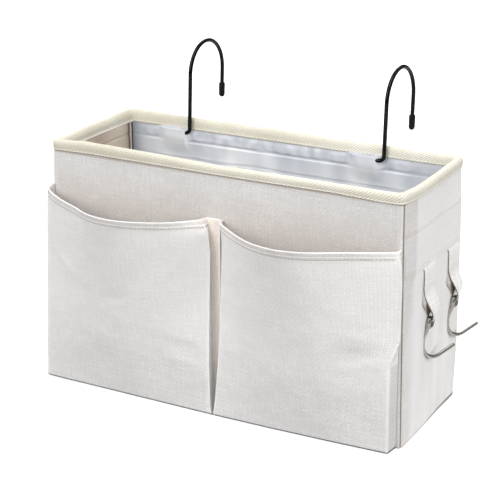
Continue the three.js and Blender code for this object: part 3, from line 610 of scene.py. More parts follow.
closed_rings = np.concatenate([rim_rings, rim_rings[:1]])
rim_across = (closed_rings[:, outer_stitch] - closed_rings[:, inner_stitch]) * (1, 1, 0)
rim_across = rim_across / np.linalg.norm(rim_across, axis=1, keepdims=True)
for name, mark, across in (("rim_binding_stitches", outer_stitch, rim_across),
                           ("rim_binding_inside_stitches", inner_stitch, -rim_across)):
    row = stitch_row(name, closed_rings[:, mark] - across * 0.05 * MM, across, 3.4 * MM, 2.6 * MM, 0.2 * MM)

# Front pockets
# Two patch pockets of the same canvas, cut wider than the wall and pleated at their sides, so that they bulge
# and hang open. They are sewn down at the box corners, along the strip between them and at the bottom seam.
pocket_ply = 1.2 * MM
pocket_foot = 0.6 * MM
pocket_face = -57.8 * MM
pocket_end = 158.5 * MM
mouth_depth, floor_depth = 44.2 * MM, 18.3 * MM
belly_power, seam_power = 1.15, 0.4
pleat_foot, pleat_top, pleat_dimple = 73 * MM, 97 * MM, 86 * MM
strip_foot_x, strip_foot_width = -1.5 * MM, 4 * MM
strip_top_x, strip_top_width = -3.4 * MM, 12.6 * MM
strip_edges = [(strip_foot_x + side * strip_foot_width / 2, strip_top_x + side * strip_top_width / 2)
               for side in (-1, 1)]
leg_steps = 6
pocket_shade_hex = "#cccbd1"

# Pocket cloth: the same linen, whose painted shade is cooler in tone where it turns downwards
pocket_linen = plain_weave("linen_pocket_woven", linen_hex, linen_shade_hex, pocket_shade_hex)

# Mouth and foot of each pocket seen from above, as (share of its width, share of its depth). Creases are
# (x, z, direction in degrees, length, height) in mm, and pleats shift points of the plan sideways, in mm.
pockets = {
    "left": {"foot_span": (-pocket_end, strip_edges[0][0]), "mouth_span": (-pocket_end, strip_edges[0][1]),
             "mouth": [(0, 0), (-.017, .15), (.144, .45), (.263, .663), (.356, .845), (.453, .965), (.552, 1),
                       (.67, .937), (.785, .774), (.871, .609), (.95, .357), (.987, .215), (1, 0)],
             "foot": [(0, 0), (-.02, .96), (.08, .99), (.18, .98), (.28, .98), (.38, .98), (.48, .985),
                      (.58, .99), (.68, .99), (.78, .995), (.9, 1), (1.025, 1), (1, 0)],
             "pleated": False, "seed": 11.0,
             "creases": [(-10, 62, 172, 34, 0.5), (-9, 44, 180, 40, 0.55), (-8, 27, 190, 30, 0.4),
                         (-152, 120, -32, 46, 0.5), (-60, 100, 200, 50, -0.4)],
             "pleat_heights": (0, 45, 75, 140, 155, 163, 166),
             "pleat_reach": {0: (0, -1.5, -2, -3, -3, -3, -3), 1: (-4.5, -4.3, -4, -3, -2.8, -2.6, -2.5),
                             2: (-2, -2, -2, -1.5, -1.2, -1, -1), 10: (0.7, 1.4, 2.2, 4.4, 4, 1.5, 0),
                             11: (1.4, 2.7, 4.4, 9, 8, 3, 0)}},
    "right": {"foot_span": (strip_edges[1][0], pocket_end), "mouth_span": (strip_edges[1][1], pocket_end),
              "mouth": [(0, 0), (.023, .198), (.077, .352), (.166, .586), (.244, .765), (.321, .89), (.406, .97),
                        (.489, .99), (.587, .92), (.688, .74), (.795, .523), (.978, .13), (1, 0)],
              "foot": [(0, 0), (.017, 1), (.1, .99), (.19, .975), (.28, .96), (.37, .94), (.46, .91),
                       (.55, .88), (.65, .85), (.75, .81), (.86, .76), (.98, .7), (1, 0)],
              "pleated": True, "seed": 23.0,
              "creases": [(150, 90, 163, 40, 0.45), (150, 83, 182, 46, -0.35), (148, 76, 196, 40, 0.5),
                          (146, 55, 205, 38, 0.4), (140, 128, 215, 46, -0.35), (12, 60, 12, 36, 0.35)],
              "pleat_heights": (0, 45, 75, 95, 140, 155, 163, 166),
              "pleat_reach": {1: (-0.8, 1.7, 2.5, 2.7, 2.7, 2, 0.5, 0),
                              11: (1.8, 1.8, 1.8, 7.3, 7.8, 7, 4.5, 2.7)}},
}
for pocket in pockets.values():
    pocket.update(top=pocket_top, depths=(mouth_depth, floor_depth), powers=(belly_power, seam_power))


def smooth_step(value, low, high):
    share = ramp(value - low, high - low)
    return share * share * (3 - 2 * share)


def through(points, per_leg):
    """A smooth curve through the points, with the same number of samples in each leg."""
    out = []
    for k in range(len(points) - 1):
        p0, p1 = points[max(k - 1, 0)], points[k]
        p2, p3 = points[k + 1], points[min(k + 2, len(points) - 1)]
        v0, v1 = (p2 - p0) / 2, (p3 - p1) / 2
        cubed, squared = 2 * p1 - 2 * p2 + v0 + v1, -3 * p1 + 3 * p2 - 2 * v0 - v1
        out += [cubed * t ** 3 + squared * t ** 2 + v0 * t + p1 for t in np.arange(per_leg) / per_leg]
    return np.array(out + [points[-1]])


def pocket_plan(pocket, z):
    """x and distance out from the wall, from one side seam to the other, at one height."""
    rise = ramp(z - pocket_foot, pocket["top"] - pocket_foot)
    start, end = (foot + (mouth - foot) * rise ** pocket["powers"][1]
                  for foot, mouth in zip(pocket["foot_span"], pocket["mouth_span"]))
    blend = np.full((len(pocket["mouth"]), 1), rise ** pocket["powers"][0])
    if pocket["pleated"]:
        blend[-2] = smooth_step(z, pleat_foot, pleat_top)
    mouth, foot = (np.array(pocket[edge]) * (end - start, depth) + (start, 0)
                   for edge, depth in zip(("mouth", "foot"), pocket["depths"]))
    points = foot + (mouth - foot) * blend
    for k, reach in pocket.get("pleat_reach", {}).items():
        points[k, 0] += np.interp(z / MM, pocket["pleat_heights"], reach) * MM
    return np.vstack([np.linspace(points[0], points[1], leg_steps + 1)[:-1], through(points[1:-1], leg_steps),
                      np.linspace(points[-2], points[-1], leg_steps + 1)[1:]])


def plan_normals(line):
    step = np.gradient(line, axis=0)
    step = step / np.maximum(np.linalg.norm(step, axis=1, keepdims=True), 1e-12)
    return np.column_stack([-step[:, 1], step[:, 0]])


def rippled(pocket, line, z, share=1):
    """The same line with the soft unevenness and creases of hanging cloth, which die away at its seams."""
    x, seed = line[:, 0], pocket["seed"]
    out = (1.1 * soft_noise(x, z * 0.6, 0, 60 * MM, seed) + 0.45 * soft_noise(x, z, 0, 21 * MM, seed + 5)
           + 0.12 * soft_noise(x, z, 0, 9 * MM, seed + 9))
    for start_x, start_z, turn, reach, height in pocket["creases"]:
        cosine, sine = math.cos(math.radians(turn)), math.sin(math.radians(turn))
        away_x, away_z = x / MM - start_x, z / MM - start_z
        along = ramp(away_x * cosine + away_z * sine, reach)
        out += height * np.sin(math.pi * along ** 0.7) * bell(away_z * cosine - away_x * sine, 3)
    place = np.linspace(0, 1, len(line))
    out *= ramp(np.minimum(place, 1 - place), 1 / 8) * share * MM
    return line + plan_normals(line) * out[:, None]


def end_lift(place, z):
    """The mouth of the left pocket rises at its outer end, where it is sewn to the box corner."""
    return np.interp(place, [0, 6, 8, 11], [6.5, 4.0, 1.6, 0]) * MM * (z / pocket_top) ** 4


levels = np.concatenate([np.array([1.0, 1.5, 2.2, 3.0]), np.arange(4.6, 160, 2.6), [160.6, 163, 165.4]]) * MM
for name, pocket in pockets.items():
    line = pocket_plan(pocket, pocket_foot)
    rows = [[(x, pocket_face - out * share, pocket_foot) for x, out in line]
            for share in (0.03, 0.3, 0.6, 0.85, 0.96)]
    # A painted dark shadow along the bottom edge
    tints = [np.full(len(line), 1.9)] * len(rows)
    place, side_fold = np.arange(len(line)), len(line) - leg_steps - 1
    for z in levels:
        line = pocket_plan(pocket, z)
        line = rippled(pocket, line, z, smooth_step(z, 0, 25 * MM))
        lift = end_lift(place, z) * (name == "left")
        rows.append(np.column_stack([line[:, 0], pocket_face - line[:, 1], z + lift]))
        folded = not pocket["pleated"] or z < pleat_foot
        # Painted light and shade: darker towards the foot with a painted dark shadow at the bottom edge, pale
        # painted highlights along the fold edges and the first leg, painted shade low on the pleat and painted
        # light above it, and painted shade over the bright notch
        dimple = pocket["pleated"] * bell(z - pleat_dimple, 9 * MM) * ramp(place - side_fold + 14, 12)
        edges = np.exp(-np.abs(place - leg_steps) / 0.5) + folded * np.exp(-np.abs(place - side_fold) / 0.5)
        pleat_tint = 0.3 if folded and pocket["pleated"] else -0.4
        foot = 0.4 * smooth_step(85 * MM - z, 0, 70 * MM) + 1.9 * smooth_step(2.6 * MM - z, 0, 1.4 * MM)
        tint = (-0.3 + foot - 0.3 * (place < leg_steps) + pleat_tint * (place > side_fold) + 0.4 * dimple
                - 0.5 * edges)
        tints.append(np.clip(tint, -1, 2))
    # Painted shade on the inside of the pocket
    cloth = cloth_piece(f"{name}_front_pocket", np.array(rows), pocket_ply, pocket_linen,
                        tint=np.array(tints), back_tint=np.full((len(rows), len(line)), 0.5))
    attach(cloth, "bag")
    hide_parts(f"front_pocket_{name}")

# Pocket hem
# The top edge of the pocket cloth is turned over twice and stitched, one run across both pockets and the
# strip. The fold is thicker than the cloth and catches the light along its top.
hem_outline = [(0.15, -6.6), (0.35, -6.2), (0.28, -5.8), (0.05, -5.3), (0.5, -4.8), (0.72, -4.3), (0.55, -3.4),
               (0.6, -1.8), (0.72, -0.9), (0.5, -0.2), (0.0, 0.05), (-0.5, 0.0), (-0.95, -0.4), (-1.2, -1.3),
               (-1.2, -5.4), (-0.9, -6.4), (-0.4, -6.7)]
# Painted light and shade of the hem, one for each point of its outline: pale lines along its folds and painted
# shade beside them
hem_tints = [0.3, 0.2, 0.5, 0.8, -0.6, -1.0, 0.2, 0.2, 0.0, -0.6, 0.1, 0.3, 0.3, 0.5, 0.5, 0.5, 0.5]
hem_stitch = 3.0 * MM, 2.3 * MM, 0.26 * MM  # pitch, length and radius
strip_stand_off = 1.3 * MM


def hem_line(z):
    """One line across both pockets and the strip between them, eased where they meet."""
    left, right = (rippled(pocket, pocket_plan(pocket, z), z) for pocket in pockets.values())
    strip = [(x, strip_stand_off) for x in np.linspace(left[-1][0] + 1.5 * MM, right[0][0] - 1.5 * MM, 6)]
    line = np.vstack([left[:-1], strip, right[1:]])
    for _ in range(2):
        line[1:-1] = 0.5 * line[1:-1] + 0.25 * (line[:-2] + line[2:])
    return line


def on_front(line, z):
    lift = end_lift(np.arange(len(line)), pocket_top)
    return np.column_stack([line[:, 0], pocket_face - line[:, 1], z + lift])


def folded_rings(outline, top, line_at, set_on):
    """Rings of a folded edge, whose outline is (offset out of the cloth, drop from its top) in mm."""
    lines = {drop: line_at(top + min(drop, 0) * MM) for _, drop in outline}
    return np.stack([set_on(lines[drop] + plan_normals(lines[drop]) * offset * MM, top + drop * MM)
                     for offset, drop in outline], axis=1)


hem_rings = folded_rings(hem_outline, pocket_top, hem_line, on_front)
# Painted shade where the hem crosses the strip
over_strip = 0.35 * np.exp(-((hem_rings[:, 0, 0] - strip_top_x) / (6.5 * MM)) ** 4)
pocket_hem = swept_piece("front_pocket_hem", hem_rings, linen, tint=np.array(hem_tints) + over_strip[:, None])
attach(pocket_hem, "bag")
hem_stitch_z = pocket_top - 5.3 * MM
line = hem_line(hem_stitch_z)
hem_normals = np.column_stack([plan_normals(line) * (1, -1), np.zeros(len(line))])
hem_path = on_front(line, hem_stitch_z) + hem_normals * 0.1 * MM
hem_stitches = stitch_row("front_pocket_hem_stitches", hem_path, hem_normals, *hem_stitch)

# Strip between the pockets
# The pocket cloth lies flat on the box here, between the two pleats, held by an upright row of stitches.
# The folds on both sides shade it; its cloth is drawn paler and warmer than the rest as painted light and shade.
strip_hex, strip_shade_hex = "#fdf5ee", "#ebe1d9"
strip_ply, strip_back, strip_gap = 1.1 * MM, 2.6 * MM, 0.4 * MM
strip_columns = 9
strip_arch = 0.35 * MM * np.sin(np.linspace(0, math.pi, strip_columns))

# Strip cloth: the same linen, paler and warmer in tone between the folds, as painted light and warm shade
strip_linen = plain_weave("linen_divider_woven", strip_hex, strip_shade_hex, linen_painted_shade_hex)
strip_levels = np.concatenate([[pocket_foot], np.arange(4, 160, 3) * MM, [162 * MM, 165.3 * MM]])
strip_rows = []
for z in strip_levels:
    share = ramp(z - pocket_foot, pocket_top - pocket_foot) ** seam_power
    left, right = (foot + (mouth - foot) * share for foot, mouth in strip_edges)
    x = np.linspace(left + strip_gap, right - strip_gap, strip_columns)
    strip_rows.append(np.column_stack([x, pocket_face - strip_back - strip_arch, np.full(strip_columns, z)]))
# Painted light over most of the strip, a painted highlight on its right fold and painted shade near its top
strip_tint = (np.interp(np.arange(strip_columns), [0, 4, 6, 7, 8], [-0.3, -0.3, -0.2, -0.2, -0.9])
              + 0.3 * ramp(strip_levels[:, None] - 115 * MM, 30 * MM))
pocket_strip = cloth_piece("pocket_strip", np.array(strip_rows), strip_ply, strip_linen, tint=strip_tint)
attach(pocket_strip, "bag")
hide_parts("pocket_divider")

# Clear window pocket
# A sheet of soft clear vinyl, cut wider than its place so that it stands off the wall, and sewn to the left
# end at its sides and foot. Its mouth is finished with a folded band of the same canvas.
window_ply, window_top, window_half = 0.6 * MM, 147 * MM, 49 * MM
window_gap = 0.3 * MM
vinyl_hex = "#eef3f5"
window_pocket = {
    "foot_span": (-window_half, window_half), "mouth_span": (-window_half, window_half), "pleated": False,
    "top": window_top, "depths": (10.5 * MM, 9.6 * MM), "powers": (1, 1),
    "mouth": [(0, 0), (.005, .3), (.03, .6), (.08, .8), (.18, .93), (.32, .985), (.5, 1),
              (.68, .985), (.82, .93), (.92, .8), (.97, .6), (.995, .3), (1, 0)],
    "foot": [(0, 0), (0, .6), (.015, .9), (.05, 1), (.2, 1), (.35, 1), (.5, 1),
             (.65, 1), (.8, 1), (.95, 1), (.985, .9), (1, .6), (1, 0)]}
band_outline = [(0.5, -18.0), (0.95, -17.6), (0.7, -16.6), (1.0, -15.0), (1.0, -3.0), (0.95, -1.2), (0.55, 0.4),
                (-0.3, 0.8), (-1.1, 0.4), (-1.45, -1.2), (-1.45, -17.4), (-1.15, -18.0), (-0.85, -17.4),
                (-0.8, -1.4), (-0.3, -0.2), (0.15, -1.4), (0.2, -15.0), (0.15, -17.6)]
band_stitch_z = window_top - 16.6 * MM

# Clear vinyl: smooth calendered film with faint waves and a slight haze
clear_vinyl, tree = new_material("pvc_film_clear_calendered")
haze = node(tree, "ShaderNodeTexNoise", links={
    "Vector": node(tree, "ShaderNodeTexCoord").outputs["Object"], "Scale": 35.0, "Detail": 2.0})
finish_material(tree, node(tree, "ShaderNodeBsdfPrincipled", links={
    "Base Color": linear(vinyl_hex), "IOR": 1.53, "Transmission Weight": 1.0,
    "Roughness": node(tree, "ShaderNodeMath", {"operation": "MULTIPLY_ADD"}, {
        0: haze.outputs["Fac"], 1: 0.12, 2: 0.02}).outputs[0],
    "Normal": node(tree, "ShaderNodeBump", links={
        "Strength": 0.35, "Distance": 0.6 * MM, "Height": haze.outputs["Fac"]}).outputs[0]}))


def window_line(z):
    return pocket_plan(window_pocket, z)


def on_left_end(line, z):
    """A plan line set on the bowed left end, which it crosses from back to front."""
    return np.column_stack([-half_width - window_gap - left_bow(-line[:, 0], z) - line[:, 1], -line[:, 0],
                            np.full(len(line), z)])


window_rows = [on_left_end(window_line(pocket_foot) * (1, share), pocket_foot)
               for share in (0.05, 0.4, 0.75, 0.95)]
for z in np.concatenate([[pocket_foot + 0.7 * MM], np.arange(4, 145, 4) * MM, [window_top - 0.3 * MM]]):
    line = window_line(z)
    wave = 0.8 * MM * soft_noise(line[:, 0], z, 0, 40 * MM, 31.0)
    wave *= smooth_step(z, 0, 20 * MM) * (1 - smooth_step(z, 120 * MM, 130 * MM))
    window_rows.append(on_left_end(line + plan_normals(line) * wave[:, None], z))
window_sheet = cloth_piece("window_pocket_vinyl", np.array(window_rows), window_ply, clear_vinyl)
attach(window_sheet, "bag")
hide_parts("side_pocket_window")
band_rings = folded_rings(band_outline, window_top, window_line, on_left_end)
window_band = swept_piece("window_pocket_band", band_rings, linen, tint=np.zeros(band_rings.shape[:2]))
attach(window_band, "bag")
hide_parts("side_pocket_band")
line = window_line(band_stitch_z)
band_normals = np.column_stack([-plan_normals(line)[:, ::-1], np.zeros(len(line))])
band_path = on_left_end(line, band_stitch_z) + band_normals * 0.85 * MM
window_stitches = stitch_row("window_pocket_band_stitches", band_path, band_normals, *hem_stitch)

# Strap anchor band
# A band of canvas across the right end, sewn down along two rows, that holds the upper ends of both straps.
# Its upper edge is turned under, and its cloth swells softly between the rows.
anchor_low, anchor_high, anchor_half = 140.5 * MM, 176.5 * MM, 54.5 * MM
anchor_ply = 0.8 * MM
anchor_stitch_z = {"lower": 143.2 * MM, "upper": 173.8 * MM}
right_face = half_width + 0.3 * MM
gy, gz = np.meshgrid(np.linspace(-anchor_half, anchor_half, 46), np.concatenate(
    [np.arange(140.5, 147, 0.6), np.arange(147.5, 170, 2.2), np.arange(170.5, 176.6, 0.6)]) * MM)
dips = sum(bell(gz - row_z, 0.7 * MM) for row_z in anchor_stitch_z.values())
swell = soft_noise(0, gy, gz, 24 * MM, 3.0)
edge_in = ramp(np.minimum(np.minimum(gz - anchor_low, anchor_high - gz), anchor_half - np.abs(gy)), 0.8 * MM)
anchor_x = right_face + right_bow(gy, gz) + (0.1 + (0.3 - 0.2 * dips + 0.15 * swell) * edge_in) * MM
# Painted light and shade of the band: paler overall, with painted shade in its stitch rows, along its top edge
# and in front of the crease
anchor_tint = (-0.45 + 0.35 * np.clip(dips, 0, 1) + 0.8 * bell(gz - anchor_high, 0.8 * MM)
               + 0.5 * ramp(end_crease_y - gy, 3 * MM))
anchor_band = cloth_piece("strap_anchor_band_cloth", np.stack([anchor_x, gy, gz], axis=2), anchor_ply, linen,
                          tint=anchor_tint)
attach(anchor_band, "bag")
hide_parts("strap_anchor_band")
for place, z in anchor_stitch_z.items():
    path = [(right_face + 0.35 * MM + right_bow(y, z), y, z)
            for y in np.linspace(-33 * MM, anchor_half - 1 * MM, 40)]
    row = stitch_row(f"strap_anchor_{place}_stitches", path, [(1, 0, 0)] * 40, 3.2 * MM, 2.4 * MM, 0.24 * MM)

# Hook straps
# Two straps of folded canvas, doubled into a loop. The loop is drawn together by the eye of its hook,
# so the cloth gathers into pleats there, and its inner side and edges get a painted brown shade.
strap_width, strap_ply, pinch_width = 24 * MM, 0.765 * MM, 3.4 * MM
strap_top, loop_top = 140.2 * MM, 122.6 * MM
pivot_out, pivot_z = 5.5 * MM, 95.7 * MM
pivot_x = half_width + pivot_out
fold_outer = 3.0 * MM
flare_start, rear_flare, outer_flare, inner_flare = 2.4 * MM, 5.5 * MM, 25 * MM, 12 * MM
strap_places = {"front": -11 * MM, "rear": 40 * MM}
tack_z, tack_half = 126 * MM, 10 * MM
strap_shade_hex = "#9a8672"

# Strap cloth: the same linen, with a darker, browner painted shade where it turns inwards
strap_linen = plain_weave("linen_strap_woven", linen_hex, linen_shade_hex, strap_shade_hex)


def cubic(a, b, c, d, count):
    a, b, c, d = (np.array(p, float) for p in (a, b, c, d))
    return [a * (1 - t) ** 3 + 3 * b * t * (1 - t) ** 2 + 3 * c * t * t * (1 - t) + d * t ** 3
            for t in np.linspace(0, 1, count)]


# The strap from the side, as x and z: down its outer ply, round the eye of the hook, and up its inner ply
ease = 0.45 * (loop_top - pivot_z)
outer_x, inner_x = right_face + 1.5 * MM, right_face - 0.1 * MM
strap_line = [(outer_x - 1.1 * MM * math.exp(-k / 1.2), strap_top - 2.2 * MM * k) for k in range(9)]
strap_line += cubic((outer_x, loop_top), (outer_x, loop_top - ease), (pivot_x + fold_outer, pivot_z + ease),
                    (pivot_x + fold_outer, pivot_z), 16)
strap_line += [(pivot_x + fold_outer * math.cos(t), pivot_z - fold_outer * math.sin(t))
               for t in np.linspace(0, math.pi, 10)[1:]]
strap_line += cubic((pivot_x - fold_outer, pivot_z), (pivot_x - fold_outer, pivot_z + ease),
                    (inner_x, loop_top - ease), (inner_x, loop_top), 16)[1:]
strap_line += [(inner_x, loop_top + 1.6 * MM * k) for k in range(1, 10)]
strap_line = np.array(strap_line)
s = np.linspace(-1, 1, 25)  # across the strap, from its front edge to its rear edge
for place, strap_y in strap_places.items():
    rows, tints, back_tints = [], [], []
    for k, ((x, z), (out_x, out_z)) in enumerate(zip(strap_line, plan_normals(strap_line))):
        inner_ply = k > len(strap_line) / 2
        above_eye = z - pivot_z - flare_start
        near = ramp(above_eye, inner_flare if inner_ply else outer_flare)
        rear = ramp(above_eye, rear_flare) ** 0.7
        y = strap_y + s * ((strap_width - pinch_width) * np.where(s < 0, near, rear) + pinch_width) / 2
        crumple = 0.7 * MM * (1 - near) * min(1, near * 3 + 0.15) * np.sin(2.5 * math.pi * s + strap_y * 40)
        settle = 0.8 * MM * near * ramp(s - 0.85, 0.15) * (x > right_face + 1 * MM)
        rows.append(np.column_stack([
            x + out_x * crumple - settle + near ** 2 * right_bow(y, z), y, z + out_z * crumple]))
        # Painted light and shade of the strap: paler overall, a painted dark shadow along the front edge of its
        # flat part, painted brown shade along the outer ply's front edge in the loop and in the gathers, and
        # painted shade inside the loop
        flush = x > right_face + 0.5 * MM and z > loop_top - 1 * MM
        painted_edge_shade = not inner_ply and pivot_z < z < loop_top - 2 * MM
        tints.append(-0.45 + 2.3 * flush * (s < -0.95) + 1.5 * painted_edge_shade * (s < -0.85)
                     + 0.2 * (1 - near) * (1 + np.cos(2.5 * math.pi * s)))
        back_tints.append(np.full(len(s), 0.3 + 0.7 * (1 - near) if z < loop_top else -0.2))
    face = np.array(rows)
    face[..., 0] = np.maximum(face[..., 0], inner_x)
    strap = cloth_piece(f"{place}_hook_strap", face[:, ::-1], strap_ply, strap_linen,
                        tint=np.array(tints)[:, ::-1], back_tint=np.array(back_tints))
    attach(strap, "bag")
    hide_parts(f"hook_strap_{place}")
    tack_line = [(outer_x - 0.05 * MM + right_bow(y, tack_z), y, tack_z)
                 for y in strap_y + np.linspace(-tack_half, tack_half, 12)]
    tack = stitch_row(f"{place}_hook_strap_tack", tack_line, [(1, 0, 0)] * 12, 2.6 * MM, 2.1 * MM, 0.26 * MM)

# Side hooks
# Bent from steel wire and bright nickel plated: a ring round the strap, whose side runs down into a leg
# beside the wall, and an open throat with a rounded end.
side_wire = 1.55 * MM
eye_radius, eye_sweep, hook_turn = 3.8 * MM, math.radians(280), math.radians(58.6)
neck_drop, leg_run, throat_radius = 14.7 * MM, 3.7 * MM, 12 * MM
throat_sweep, tip_run = math.radians(111), 14.6 * MM
leg_offset = (pivot_out - side_wire - 0.3 * MM) / math.cos(hook_turn)
nickel_tones = "#a09d96", "#c8c5be"


def grained_skin(name, scale, detail, tones, bump, roughness, spread=0, sockets=None):
    """A smooth skin whose fine grain shifts its tone, raises its surface and spreads its roughness."""
    material, tree = new_material(name)
    place = node(tree, "ShaderNodeTexCoord").outputs["Object"]
    grain = node(tree, "ShaderNodeTexNoise", links={
        "Vector": place, "Scale": scale, "Detail": detail}).outputs["Fac"]
    if spread:
        roughness = node(tree, "ShaderNodeMath", {"operation": "MULTIPLY_ADD"}, {
            0: grain, 1: spread, 2: roughness}).outputs[0]
    finish_material(tree, node(tree, "ShaderNodeBsdfPrincipled", links={
        "Base Color": node(tree, "ShaderNodeMix", {"data_type": "RGBA"}, {
            "Factor": grain, 6: linear(tones[0]), 7: linear(tones[1])}).outputs[2],
        "Roughness": roughness, "Normal": node(tree, "ShaderNodeBump", links={
            "Strength": bump[0], "Distance": bump[1], "Height": grain}).outputs[0], **(sockets or {})}))
    return material


# Nickel plating: bright metal with a fine grain, and small dull spots
nickel = grained_skin("steel_wire_nickel_plated", 260.0, 3.0, nickel_tones, (0.15, 0.05 * MM), 0.12,
                      spread=0.12, sockets={"Metallic": 1.0})


def wire_piece(name, line, radius, material, sides):
    """A round wire along a centre line of real length, with both ends rounded off to a dome."""
    dome = [(math.sin(a), math.cos(a)) for a in np.radians((12, 35, 58, 78))]
    first, last = ((end - inside) / np.linalg.norm(end - inside)
                   for end, inside in ((line[0], line[1]), (line[-1], line[-2])))
    points = np.array([line[0] + first * radius * ahead for ahead, _ in dome[::-1]] + list(line)
                      + [line[-1] + last * radius * ahead for ahead, _ in dome])
    radii = [radius * share for _, share in dome]
    tangents = np.gradient(points, axis=0)
    tangents = tangents / np.linalg.norm(tangents, axis=1, keepdims=True)
    side = np.cross(tangents[0], (0.3, 0.5, 0.81))
    rings = []
    for point, tangent, thick in zip(points, tangents, radii[::-1] + [radius] * len(line) + radii):
        side = side - tangent * np.dot(side, tangent)
        side = side / np.linalg.norm(side)
        rings.append([point + thick * (c * side + s * np.cross(tangent, side)) for c, s in circle(sides)])
    return swept_piece(name, rings, material)


def dense(points, spacing):
    """The same line with its points evenly spaced along it."""
    along = run_lengths(points)
    keep = np.linspace(0, along[-1], max(8, int(along[-1] / spacing)))
    return np.column_stack([np.interp(keep, along, points[:, a]) for a in range(3)])


def side_hook_line():
    """Centre line about the pivot: round the eye, down the neck and leg, and round the throat to the tip."""
    away, down = np.array([math.cos(hook_turn), math.sin(hook_turn), 0]), np.array([0, 0, -1])
    points = [np.array([0, eye_radius * math.cos(t), -eye_radius + eye_radius * math.sin(t)])
              for t in np.linspace(math.pi - eye_sweep, math.pi, 44)]
    top = points[-1]
    leg_top = top * (0, 0, 1) + down * neck_drop - away * leg_offset
    slack = down * neck_drop / 3
    points += cubic(top, top + slack, leg_top - slack, leg_top, 16)[1:]
    centre = leg_top + down * leg_run + away * throat_radius
    points += [centre + throat_radius * (down * math.sin(t) - away * math.cos(t))
               for t in np.linspace(0, throat_sweep, 34)]
    points.append(points[-1] + (away * math.sin(throat_sweep) + down * math.cos(throat_sweep)) * tip_run)
    return np.array(points)


for place, strap_y in strap_places.items():
    line = dense(side_hook_line(), 0.6 * MM) + (pivot_x, strap_y, pivot_z)
    side_hook = wire_piece(f"{place}_side_hook_wire", line, side_wire, nickel, 20)
    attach(side_hook, f"{place}_side_hook")
    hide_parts(f"side_hook_{place}")

# Rail hooks
# Two hooks of 3.5 mm steel wire in glossy black powder coat. Each has a foot that turns in a cloth sleeve,
# a shaft, an arch that goes over the bed rail, and a free leg with a rubber tip.
rail_wire, arch_radius, foot_bend, rail_tilt = 1.75 * MM, 27.5 * MM, 4 * MM, math.radians(3.6)
# Height of each shaft, and run of its free leg
rail_hooks = {"left": (51.3 * MM, 23 * MM), "right": (46.7 * MM, 26 * MM)}
coat_tones, rubber_tones = ("#020202", "#050505"), ("#040404", "#0b0b0b")

# Powder coat: glossy black skin with a faint orange peel, so highlights run thin along the wire
black_coat = grained_skin("steel_wire_powder_coated_black", 700.0, 2.0, coat_tones, (0.12, 0.05 * MM), 0.15,
                          sockets={"Specular IOR Level": 0.3})
# Rubber tip: moulded, matt black, with a fine grain
rubber = grained_skin("rubber_tip_moulded", 1100.0, 3.0, rubber_tones, (0.25, 0.08 * MM), 0.5,
                      sockets={"Specular IOR Level": 0.3})

# Section of the tip as (radius, height above the end of the wire) in mm, from its domed end up to its mouth
tip_outline = [(0.02, -4.0), (0.9, -3.85), (1.8, -3.3), (2.45, -2.3), (2.7, -1.1), (2.72, 0.6), (2.55, 1.0),
               (2.72, 1.4), (2.75, 6.4), (2.72, 8.4), (2.55, 8.95), (2.2, 9.0), (2.05, 8.7), (2.05, 6.0)]
lean = np.array(Matrix.Rotation(rail_tilt, 3, "X"))
for side, (shaft, free_leg) in rail_hooks.items():
    origin = (hook_places[side], foot_y, foot_z)
    points = [(0.3 * MM - foot_shown - foot_hidden, 0, 0), (-foot_bend, 0, 0)]
    points += [(foot_bend * (math.sin(t) - 1), 0, foot_bend * (1 - math.cos(t)))
               for t in np.linspace(0, math.pi / 2, 10)[1:]]
    points.append((0, 0, shaft))
    points += [(0, arch_radius * (1 - math.cos(t)), shaft + arch_radius * math.sin(t))
               for t in np.linspace(0, math.pi, 60)[1:]]
    points.append((0, 2 * arch_radius, shaft - free_leg))
    hook = wire_piece(f"{side}_rail_hook_wire", dense(np.array(points), 1.2 * MM) @ lean + origin, rail_wire,
                      black_coat, 24)
    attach(hook, f"{side}_rail_hook")
    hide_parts(f"rail_hook_{side}")
    tip_rings = [[(radius * c * MM, 2 * arch_radius + radius * s * MM, shaft - free_leg + height * MM)
                  for c, s in circle(28)] for radius, height in tip_outline]
    tip = swept_piece(f"{side}_rail_hook_rubber_tip", np.array(tip_rings) @ lean + origin, rubber)
    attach(tip, f"{side}_rail_hook")
    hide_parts(f"rail_hook_tip_{side}")

# Studio
# A white floor that keeps the soft shadow under the box, white all round, and the camera of the photograph.
# The wires see the white floor partly flagged with grey, so that they keep dark edges.
glossy_share = 0.4
near_floor_hex, far_floor_hex, white_floor_hex = "#989898", "#303030", "#d8d8d8"
white = (1.0, 1.0, 1.0, 1.0)
floor_half = 4
floor_mesh = bpy.data.meshes.new("studio_floor")
floor_corners = [(x * floor_half, y * floor_half, 0) for x, y in ((-1, -1), (1, -1), (1, 1), (-1, 1))]
floor_mesh.from_pydata(floor_corners, [], [(0, 1, 2, 3)])
floor = bpy.data.objects.new("studio_floor", floor_mesh)
bpy.context.scene.collection.objects.link(floor)

